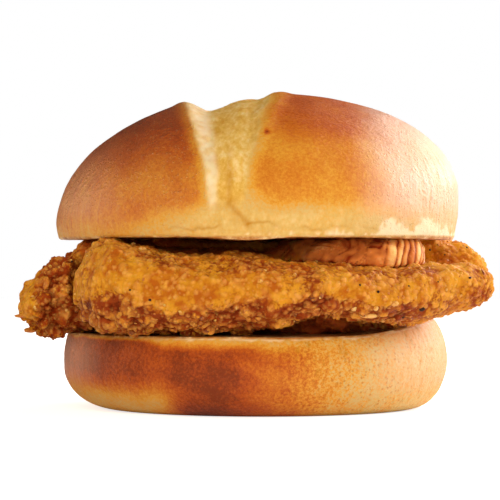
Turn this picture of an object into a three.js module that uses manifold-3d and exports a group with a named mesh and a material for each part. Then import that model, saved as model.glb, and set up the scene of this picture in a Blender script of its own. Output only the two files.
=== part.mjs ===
// A chicken burger: three breaded chicken strips side by side between the crown and the heel of a soft split-top bun.
// Millimetres, +Z up. The shown side faces -Y and the strips run along X. The origin ends up on the resting plane,
// below the middle of the whole burger.

import * as THREE from "three";
import { ImprovedNoise } from "three/addons/math/ImprovedNoise.js";
import { mergeVertices } from "three/addons/utils/BufferGeometryUtils.js";
import Module from "manifold-3d";

const { clamp, lerp, smoothstep } = THREE.MathUtils;
const TURN = 2 * Math.PI;

// ---------- driving dimensions ----------

const BUN_WIDTH = 108; // across the crown, along X
const BUN_DEPTH = 105; // across the crown, along Y
const HEEL_WIDTH = 103; // the heel is a little narrower than the crown
const HEEL_TOP = 20.6; // height of the heel's cut face
const CROWN_RIM = 45.6; // height of the crown's cut face
const CROWN_TOP = 84.6;
const GAP = 0.3; // air left between neighbouring pieces
const SLIVER = 0.04; // edges that a cut leaves finer than this are merged
const ARRIS = 0.6; // size of the soft edge round a cut face
const OUTLINE_LOBES = 0.5; // how far the bun's outline strays from an ellipse
const FACE_WAVE = { crown: 0.7, heel: 0.5, size: 25 }; // how far each cut face strays from level

// Crown: the left side slopes from a low shoulder, the right side is fuller with a high one.
const CROWN = {
  shoulder: { left: 50, right: 58 }, // height where it is widest
  fullness: { left: 1.88, right: 2.06 }, // exponent of the dome's superellipse
  tuck: { left: 0.015, right: 0.02 }, // share by which the side draws in down to the rim
  lumps: { height: 0.7, size: 20 },
};

// The split across the crown's top: wide and deep on top, narrow down the front and back, gone at the shoulder.
const SPLIT = {
  x: -7.5,
  halfWidth: { low: 5, high: 12.5 },
  depth: { low: 0.9, high: 3.9 },
  growth: 1.5, // exponent of how it opens with height
  foot: 52, // height where it fades out
  lip: 0.6, // how far the crust's torn edges stand proud
  wander: 0.6, // how far its line strays
};

// The crown's rim hangs lower under the split, and at its left and right ends.
const RIM = { dip: { x: -3.5, run: 8, depth: 0.7 }, sag: { from: 28, to: 52, depth: 0.5 } };

// Heel: flat underneath, round at the corner, widest below half its height, lifted at the right by the chicken.
const HEEL = {
  flatRadius: { left: 36, right: 40 },
  widestAt: { left: 12.5, right: 13 },
  tuck: { left: 0.015, right: 0.065 },
  lift: 4.2,
  liftFrom: 22,
  shift: -0.4, // how far right of the crown's middle it sits
};

// Each strip is lofted through stations from its left tip to its right tip:
// x and y of the middle, half the width along Y, lowest and highest z.
const STRIPS = {
  chicken_strip_front: {
    stations: [
      [-48, -30, 15, 24, 41],
      [-38, -33, 17, 21.2, 44.2],
      [-20, -35.5, 18.5, 21.3, 41.4],
      [0, -36.5, 19, 22.4, 40.9],
      [17, -36, 18.5, 25.4, 38.5],
      [33, -33, 17, 23, 38.3],
      [50, -26, 14, 26.6, 38.9],
      [62, -22, 12, 28.4, 38.6],
    ],
    tips: [11, 9],
    relief: 1.2,
    seed: 3,
  },
  chicken_strip_middle: {
    stations: [
      [-62, -15, 12, 22.4, 34.6],
      [-55, -13, 14, 19.8, 38.2],
      [-43, -8, 16, 20.8, 43.8],
      [-26, -1, 17, 20.5, 43.4],
      [3, -3, 21, 20.5, 42.2],
      [15.5, -10.5, 26.5, 20.5, 48.5],
      [31, -13, 25.5, 22, 50],
      [44.5, -15.5, 17, 27, 49],
    ],
    tips: [7, 7],
    relief: 1.5,
    seed: 11,
  },
  chicken_strip_back: {
    stations: [
      [-51, 27, 14, 24, 40],
      [-38, 32, 16, 21, 46.5],
      [-18, 34.5, 17.5, 20.5, 47.5],
      [2, 35.5, 17.5, 20.5, 47.5],
      [22, 34, 17.5, 20.5, 47],
      [42, 28, 16, 23, 46.5],
      [55, 24, 14, 26, 45],
      [65, 22, 12, 29, 41.6],
    ],
    tips: [12, 10],
    relief: 1.3,
    seed: 23,
  },
};
const STRIP_ROUNDNESS = 2.5; // exponent of a strip's cross-section
const CRAG_SIZE = 6.5;
const LOOSE = { run: 7, play: 12 }; // how soon and how far a strip may rise or sag once past the bun's edge

// Knots of batter that stand out round the middle strip's left tip: they hang over the heel's edge.
const KNOTS = { count: 14, radius: [2.2, 4.2], centre: [-54.9, -14.5, 27.4], spread: [5.6, 11, 5.8], seed: 7 };
const DROOP = { centre: [-54.5, -16, 21.6], radius: 4.2, stretch: [1.35, 1.1, 0.8] };

const COLOURS = {
  crust: "#b8662a",
  crumb: "#dca354",
  batter: "#c67c2c",
};

// ---------- helpers ----------

const perlin = new ImprovedNoise();
const wasm = await Module();
wasm.setup();

/** Smooth noise of about -0.7 to 0.7, whose features are `size` millimetres across. */
function noise(point, size, seed = 0) {
  return perlin.noise(point.x / size + seed * 7.3, point.y / size - seed * 3.1, point.z / size + seed);
}

/** Repeatable random numbers from 0 to 1. */
function randomFrom(seed) {
  let state = seed;
  return () => {
    state = (state * 16807) % 2147483647;
    return state / 2147483647;
  };
}

/** A number from 0 to 1 that belongs to one cell of a lattice. */
function cellValue(i, j, k, salt) {
  const mixed = Math.sin(i * 127.1 + j * 311.7 + k * 74.7 + salt * 53.3) * 43758.5453;
  return mixed - Math.floor(mixed);
}

/** Rounded crags of `size` millimetres: 1 on the middle of a crag, falling to 0 in the cracks between them. */
function crags(point, size, seed) {
  const at = point.clone().divideScalar(size);
  const cell = at.clone().floor();
  const grain = new THREE.Vector3();
  let nearest = 2;
  for (let i = -1; i <= 1; i++)
    for (let j = -1; j <= 1; j++)
      for (let k = -1; k <= 1; k++) {
        grain.set(cell.x + i, cell.y + j, cell.z + k);
        const [a, b, c] = [0, 1, 2].map((n) => cellValue(grain.x, grain.y, grain.z, seed + n));
        nearest = Math.min(nearest, at.distanceTo(grain.add(new THREE.Vector3(a, b, c))));
      }
  return clamp(1 - nearest, 0, 1);
}

/**
 * Closed skin of rings between two poles.
 * pointAt(v, turn) gives a point: v runs from 0 at one pole to 1 at the other, turn from 0 to 1 round the skin.
 */
function skin(rings, around, pointAt) {
  const points = [pointAt(0, 0)];
  for (let i = 1; i < rings; i++) {
    for (let j = 0; j < around; j++) points.push(pointAt(i / rings, j / around));
  }
  points.push(pointAt(1, 0));
  const at = (i, j) => 1 + (i - 1) * around + (j % around);
  const last = points.length - 1;
  const faces = [];
  for (let j = 0; j < around; j++) {
    faces.push(0, at(1, j + 1), at(1, j));
    faces.push(last, at(rings - 1, j), at(rings - 1, j + 1));
    for (let i = 1; i < rings - 1; i++) {
      faces.push(at(i, j), at(i, j + 1), at(i + 1, j));
      faces.push(at(i, j + 1), at(i + 1, j + 1), at(i + 1, j));
    }
  }
  return new THREE.BufferGeometry().setFromPoints(points).setIndex(faces);
}

/** A closed geometry as a solid, turned the right way out. */
function solidOf(geometry) {
  const bare = new THREE.BufferGeometry().setAttribute("position", geometry.getAttribute("position"));
  const merged = mergeVertices(bare.setIndex(geometry.index), 1e-4);
  const vertProperties = new Float32Array(merged.attributes.position.array);
  const triVerts = new Uint32Array(merged.index.array);
  const made = new wasm.Manifold(new wasm.Mesh({ numProp: 3, vertProperties, triVerts }));
  if (made.volume() > 0) return made;
  for (let i = 0; i < triVerts.length; i += 3) {
    [triVerts[i + 1], triVerts[i + 2]] = [triVerts[i + 2], triVerts[i + 1]];
  }
  return new wasm.Manifold(new wasm.Mesh({ numProp: 3, vertProperties, triVerts }));
}

/** A solid back as a geometry with vertex normals. */
function geometryOf(solid) {
  const { vertProperties, triVerts } = solid.getMesh();
  const geometry = new THREE.BufferGeometry()
    .setAttribute("position", new THREE.BufferAttribute(new Float32Array(vertProperties), 3))
    .setIndex(new THREE.BufferAttribute(triVerts, 1));
  geometry.computeVertexNormals();
  return geometry;
}

/** The solid with every vertex pushed out along its normal. */
function grown(solid, by) {
  const geometry = geometryOf(solid);
  const { position, normal } = geometry.attributes;
  const point = new THREE.Vector3();
  const push = new THREE.Vector3();
  for (let i = 0; i < position.count; i++) {
    point.fromBufferAttribute(position, i).addScaledVector(push.fromBufferAttribute(normal, i), by);
    position.setXYZ(i, point.x, point.y, point.z);
  }
  return solidOf(geometry);
}

/** The largest single body of a solid, so that a boolean's loose scraps are dropped. */
function wholeOf(solid) {
  return solid.decompose().reduce((a, b) => (a.volume() > b.volume() ? a : b));
}

/** Value for the left side, the right side, or between them, by which way an angle faces. */
const bySide = ({ left, right }, angle) => lerp(left, right, (1 + Math.cos(angle)) / 2);

// ---------- bun ----------

/** Height of the crown's cut face: it dips under the split, sags at its ends and waves a little. */
function crownUnderside(x, y) {
  const dip = RIM.dip.depth * Math.exp(-(((x - RIM.dip.x) / RIM.dip.run) ** 2));
  const sag = RIM.sag.depth * smoothstep(Math.abs(x), RIM.sag.from, RIM.sag.to);
  return CROWN_RIM - dip - sag + FACE_WAVE.crown * noise(new THREE.Vector3(x, y, 0), FACE_WAVE.size, 5);
}

/** Height of the heel's cut face: it lifts towards the right end. */
function heelTop(x, y) {
  const lift = HEEL.lift * smoothstep(x, HEEL.liftFrom, HEEL_WIDTH / 2 + 4);
  return HEEL_TOP + lift + FACE_WAVE.heel * noise(new THREE.Vector3(x, y, 0), FACE_WAVE.size, 9);
}

/** Radius of the crown's widest outline in a direction. */
function crownRadius(angle) {
  const round = lerp(BUN_DEPTH, BUN_WIDTH, Math.cos(angle) ** 2) / 2;
  return round + OUTLINE_LOBES * Math.sin(3 * angle + 1) * Math.sin(angle) ** 2;
}

/** Pushes a point of the dome inwards where the split crosses it, and outwards at the crust's torn edges. */
function splitOpen(point) {
  const height = clamp((point.z - SPLIT.foot) / (CROWN_TOP - SPLIT.foot), 0, 1);
  const open = height ** SPLIT.growth;
  const halfWidth = lerp(SPLIT.halfWidth.low, SPLIT.halfWidth.high, open);
  const across = Math.abs(point.x - SPLIT.x + SPLIT.wander * noise(point, SPLIT.halfWidth.high, 2)) / halfWidth;
  const fade = smoothstep(height, 0, 0.22);
  const depth = lerp(SPLIT.depth.low, SPLIT.depth.high, open) * clamp(1 - across ** 2, 0, 1);
  const lip = SPLIT.lip * height * Math.exp(-(((across - 1.15) / 0.24) ** 2));
  const outwards = point.clone().sub(new THREE.Vector3(0, 0, CROWN_RIM)).normalize();
  return point.addScaledVector(outwards, fade * (lip - depth));
}

/** The crown: cut face, short side, and a dome that the split runs across. */
function crownGeometry() {
  const cutFace = 0.16; // share of the rings on the cut face
  const side = 0.34; // the side's last ring, where the dome starts
  return skin(25, 60, (v, turn) => {
    const angle = turn * TURN;
    const radius = crownRadius(angle);
    const tuck = bySide(CROWN.tuck, angle);
    const shoulder = bySide(CROWN.shoulder, angle);
    const rimRadius = radius * (1 - tuck);
    const point = new THREE.Vector3(Math.cos(angle), Math.sin(angle), 0);
    if (v <= cutFace) {
      const edge = ARRIS * smoothstep(v, 0.85 * cutFace, cutFace);
      point.multiplyScalar((rimRadius - edge / 2) * Math.sqrt(v / cutFace));
      point.z = crownUnderside(point.x, point.y) + edge / 2;
      return point;
    }
    if (v < side) {
      const up = (v - cutFace) / (side - cutFace);
      point.multiplyScalar(radius * (1 - tuck * (1 - up) ** 2));
      point.z = lerp(crownUnderside(point.x, point.y) + ARRIS, shoulder, up);
    } else {
      const rise = ((v - side) / (1 - side)) * (TURN / 4);
      const power = 2 / bySide(CROWN.fullness, angle);
      point.multiplyScalar(radius * Math.max(Math.cos(rise), 0) ** power);
      point.z = shoulder + (CROWN_TOP - shoulder) * Math.sin(rise) ** power;
    }
    const clearOfRim = smoothstep(point.z, CROWN_RIM, CROWN_RIM + 8);
    const swell = CROWN.lumps.height * noise(point, CROWN.lumps.size, 1) * clearOfRim;
    point.addScaledVector(point.clone().setZ(point.z - CROWN_RIM).normalize(), swell);
    return splitOpen(point);
  });
}

/** The heel: flat underside, round corner, upright side and a cut face on top. */
function heelGeometry() {
  const flat = 0.14;
  const corner = 0.5;
  const side = 0.74;
  return skin(17, 56, (v, turn) => {
    const angle = turn * TURN;
    const radius = (crownRadius(angle) * HEEL_WIDTH) / BUN_WIDTH;
    const flatRadius = bySide(HEEL.flatRadius, angle);
    const widestAt = bySide(HEEL.widestAt, angle);
    const tuck = bySide(HEEL.tuck, angle);
    const point = new THREE.Vector3(Math.cos(angle), Math.sin(angle), 0);
    if (v <= flat) return point.multiplyScalar(flatRadius * (v / flat));
    if (v <= corner) {
      const turnUp = ((v - flat) / (corner - flat)) * (TURN / 4);
      point.multiplyScalar(lerp(flatRadius, radius, Math.sin(turnUp) ** 0.85));
      point.z = widestAt * (1 - Math.cos(turnUp) ** 0.95);
      return point;
    }
    if (v < side) {
      const up = (v - corner) / (side - corner);
      point.multiplyScalar(radius * (1 - tuck * up ** 2));
      point.z = lerp(widestAt, heelTop(point.x, point.y) - ARRIS, up);
      return point;
    }
    const inwards = (v - side) / (1 - side);
    point.multiplyScalar(radius * (1 - tuck) * (1 - inwards) ** 0.75 - (ARRIS / 2) * (1 - inwards));
    point.z = heelTop(point.x, point.y);
    return point;
  });
}

// ---------- chicken ----------

/** Smooth curve through one column of a strip's stations: a function of 0 at the left tip to 1 at the right. */
function column(stations, n) {
  const points = stations.map((row) => new THREE.Vector3(row[0], row[n], 0));
  const curve = new THREE.CatmullRomCurve3(points);
  return (u) => curve.getPoint(u);
}

/** Share of the full section that is left near a tip, so that each end closes as an elliptical cap. */
function tipShare(x, from, to, [left, right]) {
  const near = Math.min((x - from) / left, (to - x) / right, 1);
  return Math.sqrt(clamp(1 - (1 - near) ** 2, 0, 1));
}

/** Keeps a point of the chicken under the crown and on the heel, where the bread presses it. */
function pressed(point) {
  const out = Math.hypot(point.x, point.y);
  const clearOf = (edge) => LOOSE.play * smoothstep(out, edge, edge + LOOSE.run);
  const ceiling = crownUnderside(point.x, point.y) - GAP + clearOf(BUN_WIDTH / 2);
  const floor = heelTop(point.x, point.y) + GAP - clearOf(HEEL_WIDTH / 2);
  point.z = clamp(point.z, floor, Math.max(ceiling, floor));
  return point;
}

/** One breaded strip: a superellipse lofted through its stations, roughened by crags. */
function stripGeometry({ stations, tips, relief, seed }, rings, around) {
  const [midY, halfWidth, low, high] = [1, 2, 3, 4].map((n) => column(stations, n));
  const [from, to] = [stations[0][0], stations.at(-1)[0]];
  return skin(rings, around, (v, turn) => {
    const u = (1 - Math.cos((v * TURN) / 2)) / 2;
    const along = lerp(v, u, 0.55);
    const angle = turn * TURN;
    const x = midY(along).x;
    const share = tipShare(x, from, to, tips);
    const middle = new THREE.Vector3(x, midY(along).y, (low(along).y + high(along).y) / 2);
    const halfHeight = (high(along).y - low(along).y) / 2;
    const bend = (wave) => Math.sign(wave) * Math.abs(wave) ** (2 / STRIP_ROUNDNESS);
    const point = middle.clone();
    point.y += share * halfWidth(along).y * bend(Math.cos(angle));
    point.z += share * halfHeight * bend(Math.sin(angle));
    const outwards = point.clone().sub(middle);
    if (outwards.length() < 1e-6) outwards.set(v < 0.5 ? -1 : 1, 0, 0);
    const rough = relief * (2.4 * crags(point, CRAG_SIZE, seed) - 1.2 + 1.1 * noise(point, 2 * CRAG_SIZE, seed));
    return pressed(point.addScaledVector(outwards.normalize(), rough));
  });
}

/** One knot of batter: a ball with crags, stretched and set in place. */
function knot(centre, radius, stretch, seed) {
  const ball = mergeVertices(new THREE.IcosahedronGeometry(1, 1).deleteAttribute("normal").deleteAttribute("uv"));
  const { position } = ball.attributes;
  const point = new THREE.Vector3();
  for (let i = 0; i < position.count; i++) {
    point.fromBufferAttribute(position, i);
    point.multiplyScalar(radius * (1 + 0.4 * noise(point, 0.8, seed)));
    point.multiply(stretch).add(centre);
    position.setXYZ(i, point.x, point.y, point.z);
  }
  return solidOf(ball);
}

/** The knots round the middle strip's left tip, spread by a loose golden-angle spiral. */
function tipKnots() {
  const random = randomFrom(KNOTS.seed);
  const centre = new THREE.Vector3(...KNOTS.centre);
  const goldenAngle = Math.PI * (3 - Math.sqrt(5));
  const knots = [];
  for (let i = 0; i < KNOTS.count; i++) {
    const left = (i + random()) / KNOTS.count; // 1 is straight out along -X
    const ring = Math.sqrt(1 - left ** 2) * lerp(0.75, 1.1, random());
    const swing = (i + 0.5 * random()) * goldenAngle;
    const way = new THREE.Vector3(-left, ring * Math.cos(swing), ring * Math.sin(swing));
    const place = way.multiply(new THREE.Vector3(...KNOTS.spread)).add(centre);
    const radius = lerp(KNOTS.radius[0], KNOTS.radius[1], random());
    const stretch = new THREE.Vector3(0.8 + 0.3 * random(), 0.8 + 0.3 * random(), 0.85 + 0.35 * random());
    knots.push(knot(place, radius, stretch, i + 1));
  }
  knots.push(knot(new THREE.Vector3(...DROOP.centre), DROOP.radius, new THREE.Vector3(...DROOP.stretch), 31));
  return knots;
}

// ---------- the burger ----------

const heel = solidOf(heelGeometry().translate(HEEL.shift, 0, 0));
const crown = solidOf(crownGeometry());
const front = solidOf(stripGeometry(STRIPS.chicken_strip_front, 42, 28));
const back = solidOf(stripGeometry(STRIPS.chicken_strip_back, 34, 24));
const knotted = tipKnots().reduce(
  (joined, one) => joined.add(one),
  solidOf(stripGeometry(STRIPS.chicken_strip_middle, 40, 26)),
);
const neighbours = [front, back, heel, crown].map((solid) => grown(solid, GAP + 0.05));
const middle = wholeOf(neighbours.reduce((rest, other) => rest.subtract(other), knotted)).simplify(SLIVER);

const bread = { color: COLOURS.crust, roughness: 0.45, metalness: 0 };
const fried = { color: COLOURS.batter, roughness: 0.5, metalness: 0 };
const pieces = [
  ["bun_heel", heel, bread],
  ["chicken_strip_front", front, fried],
  ["chicken_strip_middle", middle, fried],
  ["chicken_strip_back", back, fried],
  ["bun_crown", crown, { ...bread, color: COLOURS.crumb }],
];

const burger = new THREE.Group();
for (const [name, solid, finish] of pieces) {
  const mesh = new THREE.Mesh(geometryOf(solid), new THREE.MeshStandardMaterial(finish));
  mesh.name = name;
  burger.add(mesh);
}

// The origin is below the middle of the whole, on the plane that the heel rests on.
const box = new THREE.Box3().setFromObject(burger);
const middleOfBox = box.getCenter(new THREE.Vector3());
burger.position.set(-middleOfBox.x, -middleOfBox.y, -box.min.z);

export default burger;
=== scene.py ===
"""Chicken burger: a split-top bun round three breaded strips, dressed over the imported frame.

Lengths are millimetres, X and Y measured from the middle of the bun, Z from the plane it rests on. Only the
meshes that Blender shows are in metres.
"""

import logging
import math
from dataclasses import dataclass
from dataclasses import field
from enum import Enum

import bmesh
import bpy
import numpy as np
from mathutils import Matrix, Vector
from mathutils.bvhtree import BVHTree


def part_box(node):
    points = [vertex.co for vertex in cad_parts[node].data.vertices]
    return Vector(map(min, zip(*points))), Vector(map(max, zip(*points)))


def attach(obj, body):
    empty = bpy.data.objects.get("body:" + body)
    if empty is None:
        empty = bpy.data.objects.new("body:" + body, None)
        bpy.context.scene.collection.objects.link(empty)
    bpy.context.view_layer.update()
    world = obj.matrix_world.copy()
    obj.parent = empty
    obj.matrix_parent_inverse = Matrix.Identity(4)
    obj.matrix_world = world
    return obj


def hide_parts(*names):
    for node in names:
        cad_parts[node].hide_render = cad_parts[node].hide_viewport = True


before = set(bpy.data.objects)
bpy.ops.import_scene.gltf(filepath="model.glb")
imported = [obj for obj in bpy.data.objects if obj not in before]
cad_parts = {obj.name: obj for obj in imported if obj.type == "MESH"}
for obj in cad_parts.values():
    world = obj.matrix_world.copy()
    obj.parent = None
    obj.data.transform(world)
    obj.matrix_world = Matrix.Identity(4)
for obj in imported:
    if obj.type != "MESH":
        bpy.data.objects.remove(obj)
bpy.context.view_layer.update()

MM = 0.001
TURN = 2 * math.pi
log = logging.getLogger("burger")


# ---------- numbers and noise ----------


def linear(code: str) -> tuple[float, float, float, float]:
    """Turns six hexadecimal sRGB digits into Blender's linear red, green and blue, with an alpha of 1."""
    shares = [int(code[i : i + 2], 16) / 255 for i in (0, 2, 4)]
    return (*[s / 12.92 if s <= 0.04045 else ((s + 0.055) / 1.055) ** 2.4 for s in shares], 1.0)


def smoothstep(low: float, high: float, value: np.ndarray) -> np.ndarray:
    """Eases from 0 where the value is low to 1 where it is high; low may be the larger one."""
    share = np.clip((value - low) / (high - low), 0, 1)
    return share * share * (3 - 2 * share)


def lerp(low: np.ndarray, high: np.ndarray, share: np.ndarray) -> np.ndarray:
    """Blends from low at share 0 to high at share 1."""
    return low + (high - low) * share


def cell_numbers(cells: np.ndarray, salt: int) -> np.ndarray:
    """Gives each lattice cell a repeatable number from 0 to 1.

    Args:
        cells: whole-numbered cell places, N by 3.
        salt: picks one of many sets of numbers.

    Returns:
        N numbers.
    """
    x, y, z = (cells[:, axis].astype(np.uint32) for axis in range(3))
    mixed = x * np.uint32(0x9E3779B1) ^ y * np.uint32(0x85EBCA77) ^ z * np.uint32(0xC2B2AE3D)
    mixed = mixed ^ np.uint32((salt + 1) * 0x27D4EB2F & 0xFFFFFFFF)
    for shift, factor in ((15, 0x2C1B3C6D), (12, 0x297A2D39), (15, 0x85EBCA6B)):
        mixed = (mixed ^ (mixed >> np.uint32(shift))) * np.uint32(factor)
    return (mixed ^ (mixed >> np.uint32(16))) / 2.0**32


def noise(points: np.ndarray, size: float | tuple[float, float, float], salt: int) -> np.ndarray:
    """Smooth gradient noise of about -0.7 to 0.7.

    Args:
        points: places, N by 3.
        size: how wide its features are, as one length or one along each axis.
        salt: picks one of many patterns.

    Returns:
        N values.
    """
    at = points / np.asarray(size, float)
    cell = np.floor(at).astype(np.int64)
    part = at - cell
    ease = part**3 * (part * (part * 6 - 15) + 10)
    total = np.zeros(len(points))
    for corner in np.ndindex(2, 2, 2):
        step = np.array(corner)
        pull = np.stack([2 * cell_numbers(cell + step, 3 * salt + axis) - 1 for axis in range(3)], 1)
        weight = np.prod(np.where(step == 1, ease, 1 - ease), axis=1)
        total += weight * np.sum(pull * (part - step), axis=1)
    return total


def grains(points: np.ndarray, size: float | tuple[float, float, float], salt: int) -> tuple[np.ndarray, ...]:
    """Cellular noise, for crags, bubbles and pores.

    Args:
        points: places, N by 3.
        size: distance between neighbouring grains, as one length or one along each axis.
        salt: picks one of many patterns.

    Returns:
        Distance to the nearest grain and to the second nearest, in cells, and a number that belongs to the
        nearest.
    """
    at = points / np.asarray(size, float)
    cell = np.floor(at).astype(np.int64)
    nearest = np.full(len(points), 9.0)
    second = nearest.copy()
    own = np.zeros(len(points))
    for step in np.ndindex(3, 3, 3):
        there = cell + np.array(step) - 1
        place = np.stack([cell_numbers(there, 5 * salt + axis) for axis in range(3)], 1) + there
        away = np.linalg.norm(at - place, axis=1)
        closer = away < nearest
        second = np.where(closer, nearest, np.minimum(second, away))
        own = np.where(closer, cell_numbers(there, 5 * salt + 3), own)
        nearest = np.where(closer, away, nearest)
    return nearest, second, own


def bumps(points: np.ndarray, size: float, share: float | np.ndarray, salt: int) -> np.ndarray:
    """Rounded bumps, each with its own radius, on some of the cells.

    Args:
        points: places, N by 3.
        size: distance between neighbouring cells.
        share: how many of the cells have a bump.
        salt: picks one of many patterns.

    Returns:
        Height from 0 to about 0.7.
    """
    nearest, _, own = grains(points, size, salt)
    radius = lerp(0.35, 0.7, np.clip(own / share, 0, 1))
    present = smoothstep(0, 0.1, share - own)
    return present * radius * np.sqrt(np.clip(1 - (nearest / radius) ** 2, 0, 1))


def bell(away: np.ndarray, reach: float) -> np.ndarray:
    """A soft hump: 1 in its middle, about a third at the distance reach, and 0 far off on both sides."""
    return np.exp(-((away / reach) ** 2))


@dataclass(frozen=True)
class Waver:
    """Unevenness, as relief or as the wandering of a border."""

    amount: float
    size: float | tuple[float, float, float]
    pattern: int

    def at(self, points: np.ndarray, salt: int = 0) -> np.ndarray:
        """Returns its value at each point; the salt moves on to other patterns."""
        return self.amount * noise(points, self.size, self.pattern + salt)


@dataclass(frozen=True)
class Edge:
    """A soft border along one measure; its start may be the larger value."""

    start: float
    end: float
    waver: Waver | None = None

    def share(self, value: np.ndarray, points: np.ndarray | None = None, salt: int = 0) -> np.ndarray:
        """Returns 0 up to the start and 1 from the end on; a border that wanders needs the points."""
        uneven = 0 if self.waver is None else self.waver.at(points, salt)
        return smoothstep(self.start, self.end, value + uneven)


def together(wavers: tuple[Waver, ...], points: np.ndarray, salt: int = 0) -> np.ndarray:
    """Adds several kinds of unevenness at each point; the salt moves on to other patterns."""
    return sum(waver.at(points, salt) for waver in wavers)


def drifted(points: np.ndarray, amount: float, size: float, salts: tuple[int, int, int]) -> np.ndarray:
    """Moves places about by at most the amount, so that a pattern drawn on them isn't too even."""
    return points + amount * np.stack([noise(points, size, salt) for salt in salts], 1)


# ---------- surfaces ----------


@dataclass
class Surface:
    """A closed mesh in millimetres, with masks that its materials read."""

    points: np.ndarray
    quads: np.ndarray
    triangles: np.ndarray = field(default_factory=lambda: np.zeros((0, 3), int))
    masks: dict[str, np.ndarray] = field(default_factory=dict)

    def normals(self) -> np.ndarray:
        """Returns the outward unit normal of each point."""
        total = np.zeros_like(self.points)
        for faces in (self.quads, self.triangles):
            if not len(faces):
                continue
            first, after, before = (self.points[faces[:, i]] for i in (0, 1, -1))
            across = np.cross(after - first, before - first)
            for i in range(faces.shape[1]):
                np.add.at(total, faces[:, i], across)
        return total / np.maximum(np.linalg.norm(total, axis=1, keepdims=True), 1e-12)

    def push(self, amount: np.ndarray) -> None:
        """Moves each point out along its normal, by its own length in millimetres."""
        self.points = self.points + self.normals() * amount[:, None]

    def smooth(self, times: int) -> None:
        """Evens out the quads' corners, each towards the mean of its neighbours.

        Args:
            times: how many rounds of smoothing.
        """
        ends = np.concatenate([self.quads[:, [i, (i + 1) % 4]] for i in range(4)])
        ends = np.concatenate([ends, ends[:, ::-1]])
        count = np.bincount(ends[:, 0], minlength=len(self.points))[:, None]
        for _ in range(times):
            sums = [
                np.bincount(ends[:, 0], weights=self.points[ends[:, 1], axis], minlength=len(self.points))
                for axis in range(3)
            ]
            self.points = 0.5 * self.points + 0.5 * np.stack(sums, 1) / count

    def object(self, name: str, middle: np.ndarray) -> bpy.types.Object:
        """Makes the surface a smooth-shaded Blender mesh object.

        Args:
            name: the object's name.
            middle: the bun's middle in the frame, in millimetres.

        Returns:
            The new object, at the origin, with its place in its mesh.
        """
        mesh = bpy.data.meshes.new(name)
        faces = self.quads.tolist() + self.triangles.tolist()
        mesh.from_pydata(((self.points + middle) * MM).tolist(), [], faces)
        mesh.polygons.foreach_set("use_smooth", np.ones(len(mesh.polygons), bool))
        for mask, values in self.masks.items():
            mesh.attributes.new(mask, "FLOAT", "POINT").data.foreach_set("value", values.astype(np.float32))
        mesh.update()
        made = bpy.data.objects.new(name, mesh)
        bpy.context.scene.collection.objects.link(made)
        return made


def read_surface(mesh: bpy.types.Mesh, middle: np.ndarray) -> Surface:
    """Reads a mesh of quads or of triangles back as a surface.

    Args:
        mesh: the mesh, in metres.
        middle: the bun's middle in the frame, in millimetres.

    Returns:
        The surface, without masks.
    """
    points = np.empty(3 * len(mesh.vertices))
    mesh.vertices.foreach_get("co", points)
    corners = np.empty(len(mesh.loops), int)
    mesh.loops.foreach_get("vertex_index", corners)
    sides = len(mesh.loops) // len(mesh.polygons)
    faces = corners.reshape(-1, sides)
    places = points.reshape(-1, 3) / MM - middle
    return Surface(places, faces) if sides == 4 else Surface(places, np.zeros((0, 4), int), faces)


def evaluated_mesh(worked: bpy.types.Object) -> bpy.types.Mesh:
    """Returns a plain mesh of an object with its modifiers applied."""
    graph = bpy.context.evaluated_depsgraph_get()
    evaluated = worked.evaluated_get(graph)
    return bpy.data.meshes.new_from_object(evaluated, preserve_all_data_layers=True, depsgraph=graph)


def even_skin(rough: Surface, voxel: float) -> Surface:
    """Rebuilds a closed surface as even quads.

    Args:
        rough: any closed surface.
        voxel: size of the quads.

    Returns:
        The even surface.
    """
    worked = rough.object("even_skin_work", np.zeros(3))
    remesh = worked.modifiers.new("even", "REMESH")
    remesh.mode = "VOXEL"
    remesh.voxel_size = voxel * MM
    mesh = evaluated_mesh(worked)
    bpy.data.objects.remove(worked)
    return read_surface(mesh, np.zeros(3))


def merged_node(node: str, middle: np.ndarray) -> Surface:
    """Copies a CAD node's triangles with their doubles merged.

    Args:
        node: the node's name.
        middle: the bun's middle in the frame, in millimetres.

    Returns:
        The node's surface.
    """
    loose = read_surface(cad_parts[node].data, middle)
    _, first, which = np.unique(np.round(loose.points, 3), axis=0, return_index=True, return_inverse=True)
    return Surface(loose.points[first], np.zeros((0, 4), int), which.reshape(-1)[loose.triangles])


def bun_middle() -> np.ndarray:
    """Returns the bun's middle in the frame, in millimetres, at the height of the plane that it rests on."""
    low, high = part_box("bun_crown")
    return np.array([(low.x + high.x) / 2, (low.y + high.y) / 2, 0]) / MM


# ---------- node trees ----------


# Between which values a noise texture mostly lies.
NOISE_RANGE = (0.3, 0.7)
# The stops of a colour ramp: place from 0 to 1, and colour code.
Stops = tuple[tuple[float, str], ...]


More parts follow.
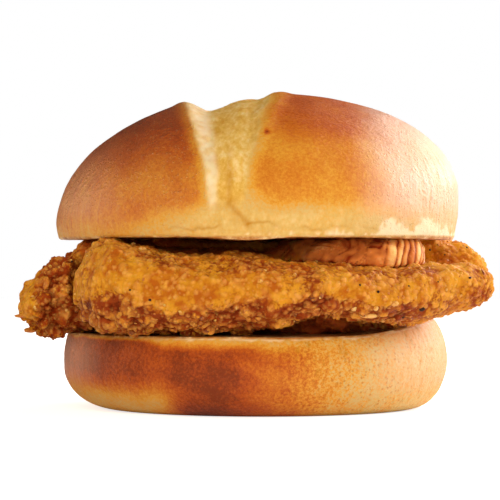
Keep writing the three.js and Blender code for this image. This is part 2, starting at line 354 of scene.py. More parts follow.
class Graph:
    """A short way to write one node tree."""

    def __init__(self, tree: bpy.types.NodeTree) -> None:
        """Starts on a tree that already exists and empties it."""
        self.tree = tree
        tree.nodes.clear()

    def add(
        self, kind: str, inputs: dict[str | int, object] | None = None, **settings: object
    ) -> bpy.types.Node:
        """Adds a node.

        Args:
            kind: the node's type.
            inputs: for each input's name or number, a value or the socket that feeds it.
            settings: the node's own properties.

        Returns:
            The new node.
        """
        made = self.tree.nodes.new(kind)
        for name, value in settings.items():
            setattr(made, name, value)
        for key, value in (inputs or {}).items():
            if isinstance(value, bpy.types.NodeSocket):
                self.tree.links.new(value, made.inputs[key])
            else:
                made.inputs[key].default_value = value
        return made

    def math(self, operation: str, *values: object) -> bpy.types.NodeSocket:
        """Adds a Math node, fed with numbers or sockets, and returns its output."""
        return self.add("ShaderNodeMath", dict(enumerate(values)), operation=operation).outputs[0]

    def plus(self, first: object, second: object) -> bpy.types.NodeSocket:
        """Adds two values, each a number or a socket."""
        return self.math("ADD", first, second)

    def times(self, first: object, second: object) -> bpy.types.NodeSocket:
        """Multiplies two values, each a number or a socket."""
        return self.math("MULTIPLY", first, second)

    def feed(self, shader: bpy.types.Node, socket: str, value: bpy.types.NodeSocket) -> None:
        """Links a value to a shader's named input."""
        self.tree.links.new(value, shader.inputs[socket])

    def bump(self, height: bpy.types.NodeSocket, strength: float, depth: float) -> bpy.types.NodeSocket:
        """Turns a height into a normal, with the depth in millimetres."""
        inputs = {"Strength": strength, "Distance": depth * MM, "Height": height}
        return self.add("ShaderNodeBump", inputs).outputs["Normal"]

    def span(
        self, value: object, low: float, high: float, to_low: float = 0, to_high: float = 1
    ) -> bpy.types.NodeSocket:
        """Maps a value smoothly from the range low to high to the range to_low to to_high, clamped."""
        inputs = {"Value": value, "From Min": low, "From Max": high, "To Min": to_low, "To Max": to_high}
        return self.add("ShaderNodeMapRange", inputs, interpolation_type="SMOOTHSTEP").outputs["Result"]

    def blend(self, share: object, under: object, over: object, mode: str = "MIX") -> bpy.types.NodeSocket:
        """Mixes two colours.

        Args:
            share: how much of the second colour shows.
            under: the first colour.
            over: the second colour.
            mode: how they blend.

        Returns:
            The mixed colour.
        """
        made = self.add("ShaderNodeMix", data_type="RGBA", blend_type=mode)
        for number, value in ((0, share), (6, under), (7, over)):
            if isinstance(value, bpy.types.NodeSocket):
                self.tree.links.new(value, made.inputs[number])
            else:
                made.inputs[number].default_value = value
        return made.outputs[2]

    def mask(self, name: str) -> bpy.types.NodeSocket:
        """Reads one of the surface's masks."""
        return self.add("ShaderNodeAttribute", attribute_name=name).outputs["Fac"]

    def noise(
        self, place: object, size: float, detail: float = 2, roughness: float = 0.5
    ) -> bpy.types.NodeSocket:
        """Adds a noise of about 0.3 to 0.7, with features of a size in millimetres."""
        inputs = {"Vector": place, "Scale": 1 / (size * MM), "Detail": detail, "Roughness": roughness}
        return self.add("ShaderNodeTexNoise", inputs).outputs["Fac"]

    def sway(self, value: object, amount: float) -> bpy.types.NodeSocket:
        """Turns a noise into a shift of at most the amount to both sides of 0."""
        return self.span(value, *NOISE_RANGE, -amount, amount)

    def stretched(self, place: object, stretch: tuple[float, float, float]) -> bpy.types.NodeSocket:
        """Makes what is drawn on a coordinate so many times longer along each axis."""
        scale = tuple(1 / s for s in stretch)
        return self.add("ShaderNodeMapping", {"Vector": place, "Scale": scale}).outputs["Vector"]

    def ramp(self, value: object, stops: Stops) -> bpy.types.NodeSocket:
        """Adds a colour ramp.

        Args:
            value: the socket that picks the colour.
            stops: place from 0 to 1 and colour code of each stop.

        Returns:
            The colour.
        """
        made = self.add("ShaderNodeValToRGB", {"Fac": value})
        elements = made.color_ramp.elements
        while len(elements) < len(stops):
            elements.new(0.5)
        for element, (place, code) in zip(elements, stops):
            element.position = place
            element.color = linear(code)
        return made.outputs["Color"]


class SharedEffect(Enum):
    """Shader node groups that several materials place, each with its own values."""

    SPECKS = "fine_specks"
    CRINKLE = "skin_crinkle"


def group_of(effect: SharedEffect) -> bpy.types.NodeTree:
    """Builds a shared effect's node group, or finds it if it is built already.

    Args:
        effect: which effect.

    Returns:
        The node group.
    """
    if effect.value in bpy.data.node_groups:
        return bpy.data.node_groups[effect.value]
    tree = bpy.data.node_groups.new(effect.value, "ShaderNodeTree")
    graph = Graph(tree)
    tree.interface.new_socket("Size", in_out="INPUT", socket_type="NodeSocketFloat")
    given = graph.add("NodeGroupInput")
    place = graph.add("ShaderNodeTexCoord").outputs["Object"]
    scale = graph.math("DIVIDE", 1 / MM, given.outputs["Size"])
    if effect is SharedEffect.SPECKS:
        tree.interface.new_socket("Share", in_out="INPUT", socket_type="NodeSocketFloat")
        tree.interface.new_socket("Mask", in_out="OUTPUT", socket_type="NodeSocketFloat")
        cells = graph.add("ShaderNodeTexVoronoi", {"Vector": place, "Scale": scale})
        some = graph.add("ShaderNodeSeparateColor", {"Color": cells.outputs["Color"]}).outputs["Red"]
        chosen = graph.math("LESS_THAN", some, given.outputs["Share"])
        dot = graph.span(cells.outputs["Distance"], 0.42, 0.12)
        result = graph.math("MULTIPLY", chosen, dot)
    else:
        tree.interface.new_socket("Height", in_out="OUTPUT", socket_type="NodeSocketFloat")
        bent = graph.add("ShaderNodeTexNoise", {"Vector": place, "Scale": scale, "Detail": 1})
        shift = graph.add("ShaderNodeVectorMath", {0: bent.outputs["Color"], 3: 0.0012}, operation="SCALE")
        warped = graph.add("ShaderNodeVectorMath", {0: place, 1: shift.outputs[0]}, operation="ADD")
        inputs = {"Vector": warped.outputs[0], "Scale": scale, "Detail": 4, "Roughness": 0.6}
        result = graph.add("ShaderNodeTexNoise", inputs, noise_type="RIDGED_MULTIFRACTAL").outputs["Fac"]
    graph.add("NodeGroupOutput", {0: result})
    return tree


class Finish:
    """Base of the finishes: builds a material around one Principled shader."""

    name: str = "finish"

    def paint(self, graph: Graph, shader: bpy.types.Node) -> None:
        """Feeds the shader in the tree; each finish has its own way."""
        raise NotImplementedError

    def effect(self, graph: Graph, effect: SharedEffect, **values: float) -> bpy.types.NodeSocket:
        """Places a shared effect.

        Args:
            graph: the material's tree.
            effect: which effect.
            values: its inputs.

        Returns:
            Its output.
        """
        placed = graph.add("ShaderNodeGroup", node_tree=group_of(effect))
        for key, value in values.items():
            placed.inputs[key].default_value = value
        return placed.outputs[0]

    def material(self) -> bpy.types.Material:
        """Returns the finish as a material, built once."""
        if self.name in bpy.data.materials:
            return bpy.data.materials[self.name]
        made = bpy.data.materials.new(self.name)
        made.use_nodes = True
        graph = Graph(made.node_tree)
        shader = graph.add("ShaderNodeBsdfPrincipled")
        graph.add("ShaderNodeOutputMaterial", {"Surface": shader.outputs["BSDF"]})
        self.paint(graph, shader)
        return made


def set_inputs(shader: bpy.types.Node, values: dict[str, object]) -> None:
    """Sets the named sockets of a shader that are the same all over."""
    for key, value in values.items():
        shader.inputs[key].default_value = value


@dataclass(frozen=True)
class BakedBread(Finish):
    """Soft bun: pale where it is torn or low down, golden, then brown where it caught the heat."""

    name: str = "baked_bread"
    crust_stops: Stops = (
        (0, "dfc37e"),
        (0.3, "e9aa38"),
        (0.52, "da8420"),
        (0.74, "c45d11"),
        (0.86, "b04c0e"),
        (1, "8a3809"),
    )
    torn_stops: Stops = ((0.28, "e0ac40"), (0.5, "f0c868"), (0.74, "fee2a0"))
    toast_stops: Stops = ((0.35, "fbe2a8"), (0.5, "c98a45"), (0.65, "a8672c"))
    # White crumb, also used for a painted highlight on the split's left wall.
    crumb: str = "ffefca"
    # Painted sheen: a pinkish-white tint laid on the bun's sides where the lamps' sheen falls.
    bloom: str = "f6caac"
    speck: str = "fbcb8c"
    pore: str = "cc8424"
    # Painted shade: the darker golden that the line mask lays in the creases and pits.
    crease: str = "c98810"
    cloud_size: float = 9
    patch_size: float = 7
    toast_size: float = 5
    tear_size: float = 1.5
    tear_stretch: tuple[float, float, float] = (1, 2.6, 1.2)
    fine_size: float = 0.8
    grit_size: float = 0.75
    speck_size: float = 0.75
    speck_share: float = 0.4
    pore_size: float = 1.1
    pore_share: float = 0.5
    crinkle_size: float = 1.8
    bump_depth: float = 0.35
    scatter: tuple[float, float, float] = (1.6, 0.8, 0.3)

    def paint(self, graph: Graph, shader: bpy.types.Node) -> None:
        """Feeds the shader from the masks bake, torn, crumb, cut, line, gloss, porous and bloom.

        Args:
            graph: the material's tree.
            shader: its Principled shader.
        """
        place = graph.add("ShaderNodeTexCoord").outputs["Object"]
        fine = graph.noise(place, self.fine_size, 4, 0.75)
        specks = self.effect(graph, SharedEffect.SPECKS, Size=self.speck_size, Share=self.speck_share)
        specks = graph.times(specks, graph.span(graph.mask("gloss"), 0.1, 0.3))
        pores = self.effect(graph, SharedEffect.SPECKS, Size=self.pore_size, Share=self.pore_share)
        pores = graph.times(pores, graph.times(graph.mask("porous"), 0.75))
        colour = graph.blend(graph.times(specks, 0.26), self.crust(graph, place, fine), linear(self.speck))
        colour = graph.blend(pores, colour, linear(self.pore))
        # Painted sheen on the bun's sides.
        colour = graph.blend(graph.mask("bloom"), colour, linear(self.bloom))
        graph.feed(shader, "Base Color", self.opened(graph, place, colour))
        matt = graph.times(graph.mask("torn"), 0.08)
        graph.feed(shader, "Roughness", graph.plus(graph.span(fine, *NOISE_RANGE, 0.38, 0.52), matt))
        glaze = graph.times(graph.span(graph.mask("bake"), 0.1, 0.4, 0.15, 1), graph.mask("gloss"))
        graph.feed(shader, "Coat Weight", glaze)
        skin = self.skin(graph, fine, specks, pores)
        graph.feed(shader, "Normal", skin)
        graph.feed(shader, "Coat Normal", skin)
        set_inputs(
            shader,
            {
                "Specular IOR Level": 0.3,
                "Subsurface Weight": 0.25,
                "Subsurface Radius": tuple(reach * MM for reach in self.scatter),
                "Subsurface Scale": 1.0,
                "Coat Roughness": 0.4,
                "Coat IOR": 1.9,
            },
        )

    def crust(
        self, graph: Graph, place: bpy.types.NodeSocket, fine: bpy.types.NodeSocket
    ) -> bpy.types.NodeSocket:
        """Colours the baked skin.

        Args:
            graph: the material's tree.
            place: the coordinate socket.
            fine: the fine noise.

        Returns:
            The crust's colour, from pale to darkest as the mask bake rises.
        """
        bake = graph.plus(graph.mask("bake"), graph.sway(graph.noise(place, self.cloud_size, 3), 0.06))
        bake = graph.plus(bake, graph.sway(fine, 0.11))
        gritty = graph.span(graph.noise(place, self.grit_size, 2, 0.8), 0.36, 0.64, -1, 1)
        grit = graph.times(gritty, graph.span(graph.mask("porous"), 0, 1, 0.03, 0.15))
        return graph.ramp(graph.plus(bake, grit), self.crust_stops)

    def opened(
        self, graph: Graph, place: bpy.types.NodeSocket, crust: bpy.types.NodeSocket
    ) -> bpy.types.NodeSocket:
        """Lays the torn, white and cut bread over the crust, with painted shade in its creases and pits.

        Args:
            graph: the material's tree.
            place: the coordinate socket.
            crust: the crust's colour.

        Returns:
            The colour of the whole bun.
        """
        tears = graph.noise(graph.stretched(place, self.tear_stretch), self.tear_size, 3, 0.65)
        patches = graph.span(graph.noise(place, self.patch_size, 1), 0.35, 0.65, -0.08, 0.06)
        torn = graph.ramp(graph.plus(tears, patches), self.torn_stops)
        toast = graph.ramp(graph.noise(place, self.toast_size, 4, 0.65), self.toast_stops)
        colour = graph.blend(graph.mask("torn"), crust, torn)
        # White crumb, and on the split's left wall a painted highlight.
        colour = graph.blend(graph.mask("crumb"), colour, linear(self.crumb))
        colour = graph.blend(graph.mask("cut"), colour, toast)
        # Painted shade in the creases and pits.
        return graph.blend(graph.mask("line"), colour, linear(self.crease))

    def skin(
        self,
        graph: Graph,
        fine: bpy.types.NodeSocket,
        specks: bpy.types.NodeSocket,
        pores: bpy.types.NodeSocket,
    ) -> bpy.types.NodeSocket:
        """Makes the skin's finest relief, calmer where the bread is torn.

        Args:
            graph: the material's tree.
            fine: the fine noise.
            specks: the mask of the raised specks.
            pores: the mask of the pores.

        Returns:
            The normal.
        """
        crinkle = self.effect(graph, SharedEffect.CRINKLE, Size=self.crinkle_size)
        leathery = graph.times(crinkle, graph.span(graph.mask("gloss"), 0.2, 1, 0.45, 1.0))
        height = graph.plus(leathery, graph.times(fine, 0.7))
        height = graph.plus(height, graph.times(specks, 0.5))
        height = graph.math("SUBTRACT", height, graph.times(pores, 0.15))
        calm = graph.times(height, graph.span(graph.mask("torn"), 0, 1, 1, 0.35))
        return graph.bump(calm, 0.9, self.bump_depth)


@dataclass(frozen=True)
class FriedBatter(Finish):
    """Fried breading: golden batter, reddish crags, pale grains, folded layers of meat, painted shade and
    highlight.
    """

    name: str = "fried_batter"
    batter_stops: Stops = ((0.34, "bd661a"), (0.47, "d18a22"), (0.61, "e2a02c"))
    fold_stops: Stops = ((0.2, "8a3014"), (0.65, "e08a42"), (1, "ffd488"))
    crag: str = "9a4218"
    ember: str = "7c2c0e"
    # Painted shade: the dark colour laid in the crevices, in the seam behind the front strip and between the
    # tip's chunks.
    crevice_shade_colour: str = "471505"
    # Pale beads and grains, and a painted highlight along the front strip's top edge.
    bead: str = "f2b45a"
    # Painted shade: the red-brown that the breading shows in shade under the crown and below the front strip.
    deep: str = "c05a2c"
    shine: str = "ffc890"
    broad_size: float = 7
    patch_size: float = 2.2
    sheen_size: float = 1.6
    fine_size: float = 1.2
    crumb_size: float = 1.15
    crumb_share: float = 0.55
    bump_depth: float = 0.35
    scatter: tuple[float, float, float] = (1.8, 0.7, 0.15)

    def paint(self, graph: Graph, shader: bpy.types.Node) -> None:
        """Feeds the shader from the masks crag, bead, flake, fold, deep, cavity and wet.

        Args:
            graph: the material's tree.
            shader: its Principled shader.
        """
        place = graph.add("ShaderNodeTexCoord").outputs["Object"]
        fine = graph.noise(place, self.fine_size, 4, 0.65)
        crumbs = self.effect(graph, SharedEffect.SPECKS, Size=self.crumb_size, Share=self.crumb_share)
        graph.feed(shader, "Base Color", self.colour(graph, place, fine, crumbs))
        sheen = graph.noise(place, self.sheen_size, 3)
        graph.feed(shader, "Roughness", graph.span(sheen, 0.35, 0.65, 0.4, 0.62))
        graph.feed(shader, "Specular IOR Level", graph.span(graph.mask("wet"), 0, 1, 0.02, 0.2))
        height = graph.plus(fine, graph.times(crumbs, 0.7))
        graph.feed(shader, "Normal", graph.bump(height, 0.7, self.bump_depth))
        set_inputs(
            shader,
            {
                "Specular Tint": linear(self.shine),
                "Subsurface Weight": 0.3,
                "Subsurface Radius": tuple(reach * MM for reach in self.scatter),
                "Subsurface Scale": 1.0,
            },
        )

    def colour(
        self,
        graph: Graph,
        place: bpy.types.NodeSocket,
        fine: bpy.types.NodeSocket,
        crumbs: bpy.types.NodeSocket,
    ) -> bpy.types.NodeSocket:
        """Colours the breading.

        Args:
            graph: the material's tree.
            place: the coordinate socket.
            fine: the fine noise.
            crumbs: the mask of the finest crumbs.

        Returns:
            The colour.
        """
        patches = graph.sway(graph.noise(place, self.patch_size, 3), 0.1)
        broad = graph.plus(graph.noise(place, self.broad_size, 4, 0.6), patches)
        redness = graph.plus(graph.mask("crag"), graph.sway(fine, 0.25))
        colour = graph.ramp(broad, self.batter_stops)
        colour = graph.blend(graph.span(redness, 0.25, 0.75), colour, linear(self.crag))
        colour = graph.blend(graph.span(redness, 0.8, 1.25), colour, linear(self.ember))
        # Pale beads and crumbs, with a painted highlight along the front strip's top edge.
        paler = graph.plus(graph.times(graph.mask("bead"), 0.72), graph.times(crumbs, 0.36))
        colour = graph.blend(paler, colour, linear(self.bead))
        # The folds' colour: darker in the gaps between the folds, painted shade; lighter at the right and at
        # the left edge, partly painted light.
        colour = graph.blend(graph.mask("flake"), colour, graph.ramp(graph.mask("fold"), self.fold_stops))
        # Painted shade under the crown and below the front strip.
        colour = graph.blend(graph.mask("deep"), colour, linear(self.deep))
        # Painted shade in the crevices and the seam, plus tone that differs at random.
        dips = graph.plus(graph.mask("cavity"), graph.span(fine, 0.35, 0.7, -0.15, 0.15))
        return graph.blend(graph.span(dips, 0.25, 1), colour, linear(self.crevice_shade_colour))


@dataclass(frozen=True)
class PalePaint(Finish):
    """Plain pale floor with a trace of unevenness."""

    name: str = "pale_floor"
    white: str = "fbfaf8"
    whiter: str = "ffffff"
    patch_size: float = 60
    near: float = 0.12
    far: float = 0.4
    glow: float = 0.78
    far_glow: float = 1.0

    def paint(self, graph: Graph, shader: bpy.types.Node) -> None:
        """Gives the floor its colour, and a glow that only the camera sees.

        Args:
            graph: the material's tree.
            shader: its Principled shader.
        """
        place = graph.add("ShaderNodeTexCoord").outputs["Object"]
        tone = graph.ramp(graph.noise(place, self.patch_size, 2), ((0.3, self.white), (0.7, self.whiter)))
        graph.feed(shader, "Base Color", tone)
        seen = graph.add("ShaderNodeLightPath").outputs["Is Camera Ray"]
        away = graph.add("ShaderNodeVectorMath", {0: place}, operation="LENGTH").outputs["Value"]
        glow = graph.span(away, self.near, self.far, self.glow, self.far_glow)
        graph.feed(shader, "Emission Strength", graph.times(seen, glow))
        glow_colour = linear(self.white)
        set_inputs(shader, {"Roughness": 0.8, "Specular IOR Level": 0.1, "Emission Color": glow_colour})


# ---------- bun ----------

# How far a cut face's rounded edge lies in from the side, and how far from the face, as shares of its radius.
ARRIS_INSET = 0.7
ARRIS_RISE = 0.35


@dataclass(frozen=True)
class Sides:
    """A size at the bun's left and at its right."""

    left: float
    right: float

    def at(self, angle: np.ndarray) -> np.ndarray:
        """Returns the size in a direction."""
        return lerp(self.left, self.right, (1 + np.cos(angle)) / 2)


def outline_radius(width: float, depth: float, angle: np.ndarray) -> np.ndarray:
    """Radius of the bun's outline at an angle, from its width along X and its depth along Y."""
    round_part = lerp(depth, width, np.cos(angle) ** 2) / 2
    return round_part + 0.5 * np.sin(3 * angle + 1) * np.sin(angle) ** 2


def ringed_surface(rings: list[np.ndarray]) -> Surface:
    """Joins rings of points into a closed surface, from a pole point to a pole point.

    Args:
        rings: the first and the last hold one point, the others all the same number.

    Returns:
        The closed surface.
    """
    around = len(rings[1])
    turn = np.arange(around)
    after = (turn + 1) % around
    starts = 1 + around * np.arange(len(rings) - 2)
    last = 1 + around * (len(rings) - 2)
    quads = [np.stack([s + turn, s + after, s + around + after, s + around + turn], 1) for s in starts[:-1]]
    bottom = np.stack([np.zeros(around, int), 1 + after, 1 + turn], 1)
    top = np.stack([np.full(around, last), starts[-1] + turn, starts[-1] + after], 1)
    return Surface(np.concatenate(rings), np.concatenate(quads), np.concatenate([bottom, top]))


@dataclass(frozen=True)
class Peak:
    """A soft hump along X."""

    x: float
    reach: float
    height: float

    def at(self, x: np.ndarray) -> np.ndarray:
        """Returns the hump's height at each place along X."""
        return self.height * bell(x - self.x, self.reach)


def unrolled(points: np.ndarray, width: float) -> np.ndarray:
    """Unrolls the bun's side: returns the way round it, 0 and the height of each point."""
    x, y, z = points.T
    return np.stack([np.arctan2(y, x) * width / 2, np.zeros_like(x), z], 1)


def level_waves(waver: Waver, x: np.ndarray, y: np.ndarray) -> np.ndarray:
    """Unevenness of a level face, as a height at each place along X and Y."""
    flat = np.stack([x, y, np.zeros_like(x)], -1).reshape(-1, 3)
    return waver.at(flat).reshape(x.shape)


@dataclass
class BunCrown:
    """Upper half of the bun: level cut face, short side, and a dome with a torn split across it.

    Places across the split run from -1 at its left edge to 1 at its right edge. Places up it run from 0 at
    its foot to 1 at the top of the dome.
    """

    middle: np.ndarray
    width: float
    depth: float
    rim: float
    top: float
    shoulder: Sides = Sides(50, 58)
    fullness: Sides = Sides(1.88, 2.06)
    tuck: Sides = Sides(0.015, 0.02)
    arris: float = 0.45
    rings_face: int = 26
    rings_side: int = 34
    rings_dome: int = 112
    around: int = 540

    # Cut face.
    dip: Peak = Peak(-3.5, 8.0, 0.7)
    sag_from: Edge = Edge(28, 52)
    sag_depth: float = 0.5
    face_waves: Waver = Waver(0.4, 14, 5)
    face_crumbs: Waver = Waver(0.25, 1.6, 26)

    # Dome and split.
    swell: Waver = Waver(0.9, 20, 1)
    swell_above: float = 8.0
    split_x: float = -7.7
    split_foot: float = 51.0
    split_low: float = 4.6
    split_high: float = 12.4
    split_flare: float = 1.7
    split_strays: tuple[Waver, ...] = (Waver(1.0, 9, 2), Waver(0.25, 3.5, 12))
    split_opens: Edge = Edge(0, 0.24)
    split_depth: Sides = Sides(0.9, 3.9)
    split_deepens: float = 1.5
    left_wall: Edge = Edge(-1.05, -0.5)
    right_steps: tuple[Edge, ...] = (Edge(-0.5, 0.4), Edge(0.62, 1))
    lips: Sides = Sides(-1.14, 1.18)
    lip_reach: float = 0.2
    lip_height: float = 0.5

    # Relief.
    torn_edges: tuple[Edge, ...] = (Edge(-1.12, -0.84), Edge(1.16, 0.78))
    torn_foot: Edge = Edge(0.0, 0.16)
    torn_lumps: tuple[Waver, ...] = (Waver(0.4, (5.5, 13, 6), 23), Waver(0.12, (2.1, 5, 2.1), 21))
    torn_grit: Waver = Waver(0.12, (0.9, 1.6, 0.9), 22)
    grittier: Edge = Edge(-0.2, -0.8)
    skin_waves: tuple[Waver, ...] = (Waver(0.16, 5.5, 24), Waver(0.05, 1.8, 25))
    crease_depth: float = 0.1
    rim_line_depth: float = 0.08
    blister_at: tuple[float, float] = (2.4, 72.6)
    blister_reach: float = math.sqrt(0.5)
    blister_depth: float = 0.25
    wrinkles: Waver = Waver(0.34, (1.1, 1, 7), 35)
    wrinkles_from: Edge = Edge(30, 48)
    wrinkles_under: Edge = Edge(75, 62)

    # White crumb that shows along the rim and down the split's left wall; on the wall its white is partly a
    # painted highlight.
    crumb_waves: tuple[Waver, ...] = (
        Waver(2.0, 1.8, 28),
        Waver(2.4, 8, 29),
        Waver(1.8, (0.9, 2, 2), 75),
        Waver(1.6, 3, 76),
    )
    crumb_peaks: tuple[Peak, ...] = (Peak(34.5, 2.6, 2.6), Peak(43.5, 3.4, 2.8))
    crumb_rises: Edge = Edge(10, 48)
    crumb_rise: float = 1.2
    crumb_ends: Edge = Edge(0, -25)
    crumb_end: float = 2.5
    wall_crumb: Edge = Edge(-0.35, -0.7)
    wall_patches: Edge = Edge(-0.35, 0.3, Waver(1, (1.8, 3.5, 1.8), 30))
    crumb_white: float = 0.9

    # Sheen: where a sheen is painted into the colour, where pores show in it, and where the coat is less
    # glossy.
    sheen_right: tuple[Edge, Edge] = (Edge(22, 37, Waver(3, 5, 71)), Edge(46, 55, Waver(2, 4, 72)))
    sheen_left: tuple[Edge, Edge, Edge] = (Edge(-32, -47, Waver(3, 5, 73)), Edge(48, 54), Edge(76, 62))
    matt_middle: tuple[Edge, Edge] = (Edge(-22, -8), Edge(37, 25, Waver(3, 6, 74)))
    matt_shoulder: tuple[Edge, Edge] = (Edge(30, 40), Edge(60, 69))

    @classmethod
    def from_frame(cls, middle: np.ndarray) -> "BunCrown":
        """Takes the sizes from the frame's crown.

        Args:
            middle: the bun's middle in the frame.

        Returns:
            The crown.
        """
        low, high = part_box("bun_crown")
        lowest_under_rim = 0.95
        wider = 0.2
        width = (high.x - low.x) / MM + wider
        return cls(middle, width, (high.y - low.y) / MM, low.z / MM + lowest_under_rim, high.z / MM)

    def underside(self, x: np.ndarray, y: np.ndarray) -> np.ndarray:
        """Height of the cut face at each place along X and Y."""
        sag = self.sag_depth * self.sag_from.share(np.abs(x))
        return self.rim - self.dip.at(x) - sag + level_waves(self.face_waves, x, y)

    def base(self) -> Surface:
        """Returns the crown without its split and its relief."""
        angle = np.arange(self.around) / self.around * TURN
        way = np.stack([np.cos(angle), np.sin(angle)], 1)
        radius = outline_radius(self.width, self.depth, angle)
        tuck, shoulder, power = self.tuck.at(angle), self.shoulder.at(angle), 2 / self.fullness.at(angle)
        rim_radius = radius * (1 - tuck)
        rings = [np.array([[0, 0, float(self.underside(np.zeros(1), np.zeros(1))[0])]])]
        for share in np.linspace(0, 1, self.rings_face + 1)[1:]:
            edge = self.arris * smoothstep(0.97, 1, np.array(share))
            flat = way * ((rim_radius - self.arris * ARRIS_INSET) * share)[:, None]
            rings.append(np.column_stack([flat, self.underside(flat[:, 0], flat[:, 1]) + 0.2 * edge]))
        for share in np.linspace(0, 1, self.rings_side + 1)[:-1]:
            soft = ARRIS_INSET * self.arris * (1 - min(1, share * 10)) ** 2
            flat = way * (radius * (1 - tuck * (1 - share) ** 2) - soft)[:, None]
            low = self.underside(flat[:, 0], flat[:, 1]) + ARRIS_RISE * self.arris
            rings.append(np.column_stack([flat, lerp(low, shoulder, share)]))
        for rise in np.linspace(0, TURN / 4, self.rings_dome + 1)[:-1]:
            flat = way * (radius * np.cos(rise) ** power)[:, None]
            rings.append(np.column_stack([flat, shoulder + (self.top - shoulder) * np.sin(rise) ** power]))
        rings.append(np.array([[0, 0, self.top]]))
        return ringed_surface(rings)

    def split(self, points: np.ndarray) -> tuple[np.ndarray, np.ndarray]:
        """Where the points lie in the split.

        Args:
            points: places on the dome.

        Returns:
            Place across it and share of the way up.
        """
        up = np.clip((points[:, 2] - self.split_foot) / (self.top - self.split_foot), 0, 1)
        half = lerp(self.split_low, self.split_high, up**self.split_flare)
        stray = together(self.split_strays, points)
        return (points[:, 0] - self.split_x + stray) / half, up

    def open_split(self, surface: Surface) -> tuple[np.ndarray, np.ndarray]:
        """Swells the dome unevenly and sinks the split into it, with a lip along each edge.

        Args:
            surface: the plain crown; its points are moved.

        Returns:
            Place across the split and share of the way up it, for each point.
        """
        points = surface.points
        out = points - np.array([0, 0, self.rim])
        out /= np.maximum(np.linalg.norm(out, axis=1, keepdims=True), 1e-9)
        clear = smoothstep(self.rim, self.rim + self.swell_above, points[:, 2])
        points = points + out * (self.swell.at(points) * clear)[:, None]
        across, up = self.split(points)
        steps = 1 - sum(0.5 * step.share(across) for step in self.right_steps)
        depth = lerp(self.split_depth.left, self.split_depth.right, up**self.split_deepens)
        depth = depth * self.left_wall.share(across) * steps
        left_lip = bell(across - self.lips.left, self.lip_reach)
        right_lip = bell(across - self.lips.right, self.lip_reach)
        lip = self.lip_height * up * (left_lip + right_lip)
        surface.points = points + out * (self.split_opens.share(up) * (lip - depth))[:, None]
        return across, up

    def build(self) -> bpy.types.Object:
        """Builds the crown with its relief and masks, and rides it on the frame."""
        surface = self.base()
        across, up = self.open_split(surface)
        points = surface.points
        surface.push(self.relief(points, across, up))
        surface.masks = self.masks(points, across, up)
        made = surface.object("bun_crown_baked", self.middle)
        return dressed(made, BakedBread(), "bun_crown")

    def torn_band(self, across: np.ndarray, up: np.ndarray) -> np.ndarray:
        """1 on the torn bread in the split, 0 elsewhere, from the places across and up it."""
        left, right = self.torn_edges
        return left.share(across) * right.share(across) * self.torn_foot.share(up)

    def side_share(self, z: np.ndarray) -> np.ndarray:
        """0 on the cut face, 1 on the side and the dome."""
        return smoothstep(self.rim + 0.3, self.rim + 0.8, z)

    def blister(self, points: np.ndarray) -> np.ndarray:
        """1 on the small dark blister at the right of the split, 0 elsewhere."""
        x, y, z = points.T
        blister_x, blister_z = self.blister_at
        return bell(np.hypot(x - blister_x, z - blister_z), self.blister_reach) * (y < 0)

    def relief(self, points: np.ndarray, across: np.ndarray, up: np.ndarray) -> np.ndarray:
        """Lumps, creases and wrinkles of the whole crown.

        Args:
            points: places on the crown.
            across: place across the split.
            up: share of the way up the split.

        Returns:
            Relief in millimetres.
        """
        z = points[:, 2]
        grit = self.torn_grit.at(points) * (1 + self.grittier.share(across))
        torn = self.torn_band(across, up) * (together(self.torn_lumps, points) + grit)
        skin = together(self.skin_waves, points) + self.side_wrinkles(points)
        marks = self.crease_depth * self.crease(points) + self.rim_line_depth * self.rim_lines(points)
        marks += self.blister_depth * self.blister(points)
        crumbly = (1 - self.side_share(z)) * self.face_crumbs.at(points)
        return (torn + skin - marks) * smoothstep(self.rim - 0.2, self.rim + 0.6, z) + crumbly

    def masks(self, points: np.ndarray, across: np.ndarray, up: np.ndarray) -> dict[str, np.ndarray]:
        """What the crown's finish reads at each point.

        Args:
            points: places on the crown.
            across: place across the split.
            up: share of the way up the split.

        Returns:
            Each mask by its name.
        """
        x, _, z = points.T
        side = self.side_share(z)
        sheen_right = self.sheen_right[0].share(x, points) * self.sheen_right[1].share(z, points)
        far_left, above, below = self.sheen_left
        sheen_left = far_left.share(x, points) * above.share(z) * below.share(z)
        matt_middle = self.matt_middle[0].share(x) * self.matt_middle[1].share(x, points)
        matt_shoulder = self.matt_shoulder[0].share(x) * self.matt_shoulder[1].share(z)
        shiny = lerp(0.5, 1, smoothstep(self.rim + 2, self.rim + 16, z))
        # White crumb along the rim; on the split's left wall, partly a painted highlight.
        crumb = self.rim_crumb(points) * side + self.wall_crumbs(points, across, up)
        return {
            "bake": self.bake(points, across, up) + 0.7 * self.blister(points),
            "torn": np.maximum(self.torn_band(across, up), 0.45 * self.skirt_share(points)),
            "crumb": self.crumb_white * crumb,
            "cut": 1 - smoothstep(self.rim - 0.1, self.rim + 0.5, z + Waver(0.3, 2, 27).at(points)),
            # Painted shade in the tear's crease and in the thin lines above the rim.
            "line": np.clip(0.6 * self.crease(points) + 0.55 * self.rim_lines(points), 0, 1),
            "gloss": shiny * (1 - 0.92 * matt_middle) * (1 - 0.55 * matt_shoulder),
            "porous": 0.4 * sheen_right,
            # Painted sheen on the right and left sides.
            "bloom": 0.62 * sheen_right + 0.2 * sheen_left,
        }

